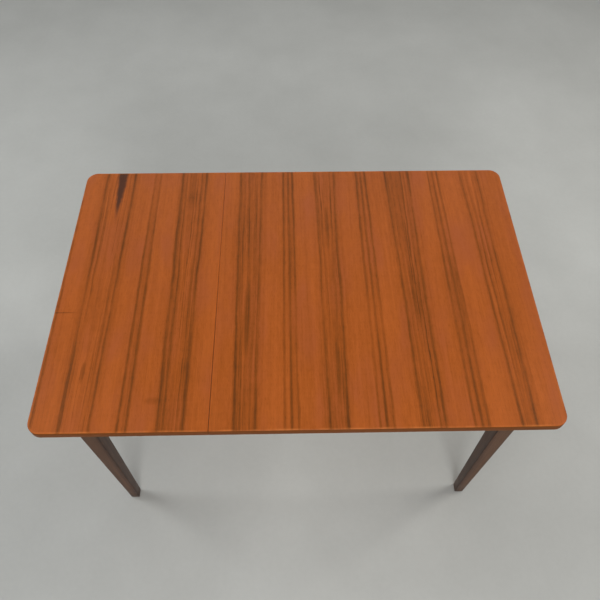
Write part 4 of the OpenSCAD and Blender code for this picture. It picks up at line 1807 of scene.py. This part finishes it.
@dataclass
class Underframe:
    """Aprons, corner braces, rails, guides, runners and ledges."""

    apron_arris: float = 1.5 * MM
    block_arris: float = 0.9 * MM
    guide_arris: float = 0.2 * MM
    metal_arris: float = 0.3 * MM
    metal_edge: float = 0.8 * MM
    flute: float = 0.25 * MM
    peg_flute: float = 0.05 * MM
    thread_crease: float = 60.0

    def build_aprons(self) -> None:
        """Dark aprons and the end rail of the sliding section."""
        rows = (
            ("apron_front", FRAME_BODY, Grain.ALONG_X),
            ("apron_back", FRAME_BODY, Grain.ALONG_X),
            ("apron_left", FRAME_BODY, Grain.ALONG_Y),
            ("apron_right", FRAME_BODY, Grain.ALONG_Y),
            ("sliding_end_rail", SLIDING_BODY, Grain.ALONG_Y),
        )
        for seed, (node, body, grain) in enumerate(rows, 21):
            Bench.eased(node, body, Slot.DARK, dark_wood(grain, seed), self.apron_arris)

    def build_blocks(self) -> None:
        """Beech pieces of the frame and the sliding section."""
        rows = (
            ("brace_front_left", FRAME_BODY, Grain.ALONG_X),
            ("brace_front_right", FRAME_BODY, Grain.ALONG_X),
            ("brace_back_left", FRAME_BODY, Grain.ALONG_X),
            ("brace_back_right", FRAME_BODY, Grain.ALONG_X),
            ("cross_rail_seam", FRAME_BODY, Grain.ALONG_Y),
            ("cross_rail_leaf", FRAME_BODY, Grain.ALONG_Y),
            ("guide_front", FRAME_BODY, Grain.ALONG_X),
            ("guide_back", FRAME_BODY, Grain.ALONG_X),
            ("ledge_front", FRAME_BODY, Grain.ALONG_X),
            ("ledge_back", FRAME_BODY, Grain.ALONG_X),
            ("runner_front", SLIDING_BODY, Grain.ALONG_X),
            ("runner_back", SLIDING_BODY, Grain.ALONG_X),
        )
        for seed, (node, body, grain) in enumerate(rows, 31):
            arris = self.guide_arris if node.startswith("guide") else self.block_arris
            Bench.eased(node, body, Slot.BEECH, beech(grain, seed), arris)

    def build_fasteners(self, turnery: Turnery) -> None:
        """Screws, dowels, pegs, bolts, washers, nuts and glides.

        Args:
            turnery: Trees of the turned pieces.
        """
        screws = (
            ("guide_screws", FRAME_BODY), ("top_screws", FRAME_BODY),
            ("brace_screws", FRAME_BODY), ("ledge_screws", FRAME_BODY),
            ("runner_screws", SLIDING_BODY), ("end_rail_screws", SLIDING_BODY),
        )
        for seed, (node, body) in enumerate(screws, 11):
            turnery.fill(turnery.screw, node, "slotted", body, Slot.ZINC, ZINC, seed)
        dowels = (
            ("rail_dowels", FRAME_BODY, Grain.ALONG_Y, self.flute),
            ("fixed_seam_dowels", FRAME_BODY, Grain.ALONG_X, self.flute),
            ("sliding_seam_dowels", SLIDING_BODY, Grain.ALONG_X, self.flute),
            ("stop_pegs", SLIDING_BODY, Grain.ALONG_Z, self.peg_flute),
        )
        for seed, (node, body, grain, flute) in enumerate(dowels, 21):
            turnery.fill(
                turnery.dowel, node, "turned", body, Slot.BEECH, beech(grain), seed,
                {"Flute Depth": flute},
            )
        turnery.fill(
            turnery.bolt, "leg_bolts", "threaded", FRAME_BODY, Slot.ZINC, ZINC, 3,
            crease=self.thread_crease,
        )
        turnery.fill(
            turnery.glide, "foot_glides", "domed", FRAME_BODY, Slot.GLIDE, GLIDE_STEEL, 5
        )
        for node in ("bolt_washers", "wing_nuts"):
            Bench.eased(node, FRAME_BODY, Slot.ZINC, ZINC, self.metal_arris, self.metal_edge)

    def build(self) -> None:
        """Builds and dresses everything under the top apart from the legs."""
        self.build_aprons()
        self.build_blocks()
        self.build_fasteners(Turnery())


@dataclass(frozen=True)
class Lamp:
    """A soft rectangular light."""

    name: str
    place: tuple[float, float, float]
    target: tuple[float, float, float]
    size: tuple[float, float]
    power: float
    colour: tuple[float, float, float] = (1.0, 1.0, 1.0)

    def build(self) -> None:
        """Adds the light to the scene."""
        data = bpy.data.lights.new(self.name, "AREA")
        data.shape = "RECTANGLE"
        data.size, data.size_y = self.size
        data.energy = self.power
        data.color = self.colour
        made = bpy.data.objects.new(self.name, data)
        made.location = self.place
        aim = Vector(self.target) - Vector(self.place)
        made.rotation_euler = aim.to_track_quat("-Z", "Y").to_euler()
        bpy.context.scene.collection.objects.link(made)


@dataclass
class Studio:
    """Floor, light and camera."""

    floor_half: float = 9.0
    camera_place: tuple[float, float, float] = (-0.0143, -0.9129, 2.017)
    yaw: float = -1.506
    pitch: float = 55.883
    roll: float = 0.538
    focal_pixels: float = 608.84
    image_pixels: float = 600.0
    sensor: float = 36.0
    sky: float = 0.09
    lamps: tuple[Lamp, ...] = (
        Lamp("front_lamp", (0.2, -3.2, 2.7), (0.0, 0.0, 0.5), (1.6, 1.0), 56.0),
        Lamp("left_lamp", (-3.4, 0.6, 2.9), (0.0, 0.3, 0.7), (1.6, 1.6), 57.0, (0.97, 0.99, 1.0)),
        Lamp("right_lamp", (3.4, 0.6, 2.9), (0.0, 0.3, 0.7), (1.6, 1.6), 60.0, (1.0, 0.98, 0.94)),
        Lamp("top_lamp", (0.0, -0.9, 4.4), (0.0, 0.3, 0.0), (2.2, 1.4), 21.0),
        Lamp("back_lamp", (0.0, 2.6, 2.5), (0.0, 0.2, 0.7), (4.5, 1.4), 18.0),
    )

    def build_floor(self) -> None:
        """Pale floor."""
        mesh = bmesh.new()
        bmesh.ops.create_grid(mesh, x_segments=2, y_segments=2, size=self.floor_half)
        made = Bench.piece(mesh, "floor", PaleFloor())

    def build_light(self) -> None:
        """Soft lamps and a pale surround."""
        for lamp in self.lamps:
            lamp.build()
        world = bpy.data.worlds.new("surround")
        bpy.context.scene.world = world
        world.use_nodes = True
        back = world.node_tree.nodes["Background"]
        back.inputs["Color"].default_value = (1.0, 1.0, 1.0, 1.0)
        back.inputs["Strength"].default_value = self.sky

    def build_camera(self) -> None:
        """Camera at the view from above the front edge."""
        yaw, pitch, roll = (math.radians(a) for a in (self.yaw, self.pitch, self.roll))
        right = Vector((math.cos(yaw), math.sin(yaw), 0.0))
        ahead = Vector((-math.sin(yaw), math.cos(yaw), 0.0))
        forward = ahead * math.cos(pitch) + Vector((0.0, 0.0, -math.sin(pitch)))
        up = ahead * math.sin(pitch) + Vector((0.0, 0.0, math.cos(pitch)))
        side = right * math.cos(roll) + up * math.sin(roll)
        top = up * math.cos(roll) - right * math.sin(roll)
        turn = Matrix((side, top, -forward)).transposed()
        data = bpy.data.cameras.new("camera")
        data.sensor_width = self.sensor
        data.lens = self.sensor * self.focal_pixels / self.image_pixels
        made = bpy.data.objects.new("camera", data)
        made.matrix_world = Matrix.Translation(self.camera_place) @ turn.to_4x4()
        bpy.context.scene.collection.objects.link(made)
        bpy.context.scene.camera = made

    def build(self) -> None:
        """Builds the studio."""
        self.build_floor()
        self.build_light()
        self.build_camera()
        bpy.context.scene.view_settings.view_transform = "Standard"


def main() -> None:
    """Builds the table and its studio."""
    logging.basicConfig(level=logging.INFO, format="%(name)s %(message)s")
    Studio().build()
    TopSection("fixed_top", FRAME_BODY, seam_side=-1, veneer=FIXED_VENEER).build()
    TopSection("sliding_top", SLIDING_BODY, seam_side=1, veneer=SLIDING_VENEER).build()
    LooseLeaf("leaf", LEAF_BODY).build()
    for seed, (name, side_x, side_y) in enumerate((
        ("leg_front_left", -1, -1), ("leg_front_right", 1, -1),
        ("leg_back_left", -1, 1), ("leg_back_right", 1, 1),
    ), 11):
        Leg(name, side_x, side_y, seed).build()
    Underframe().build()


if __name__ == "__main__":
    main()
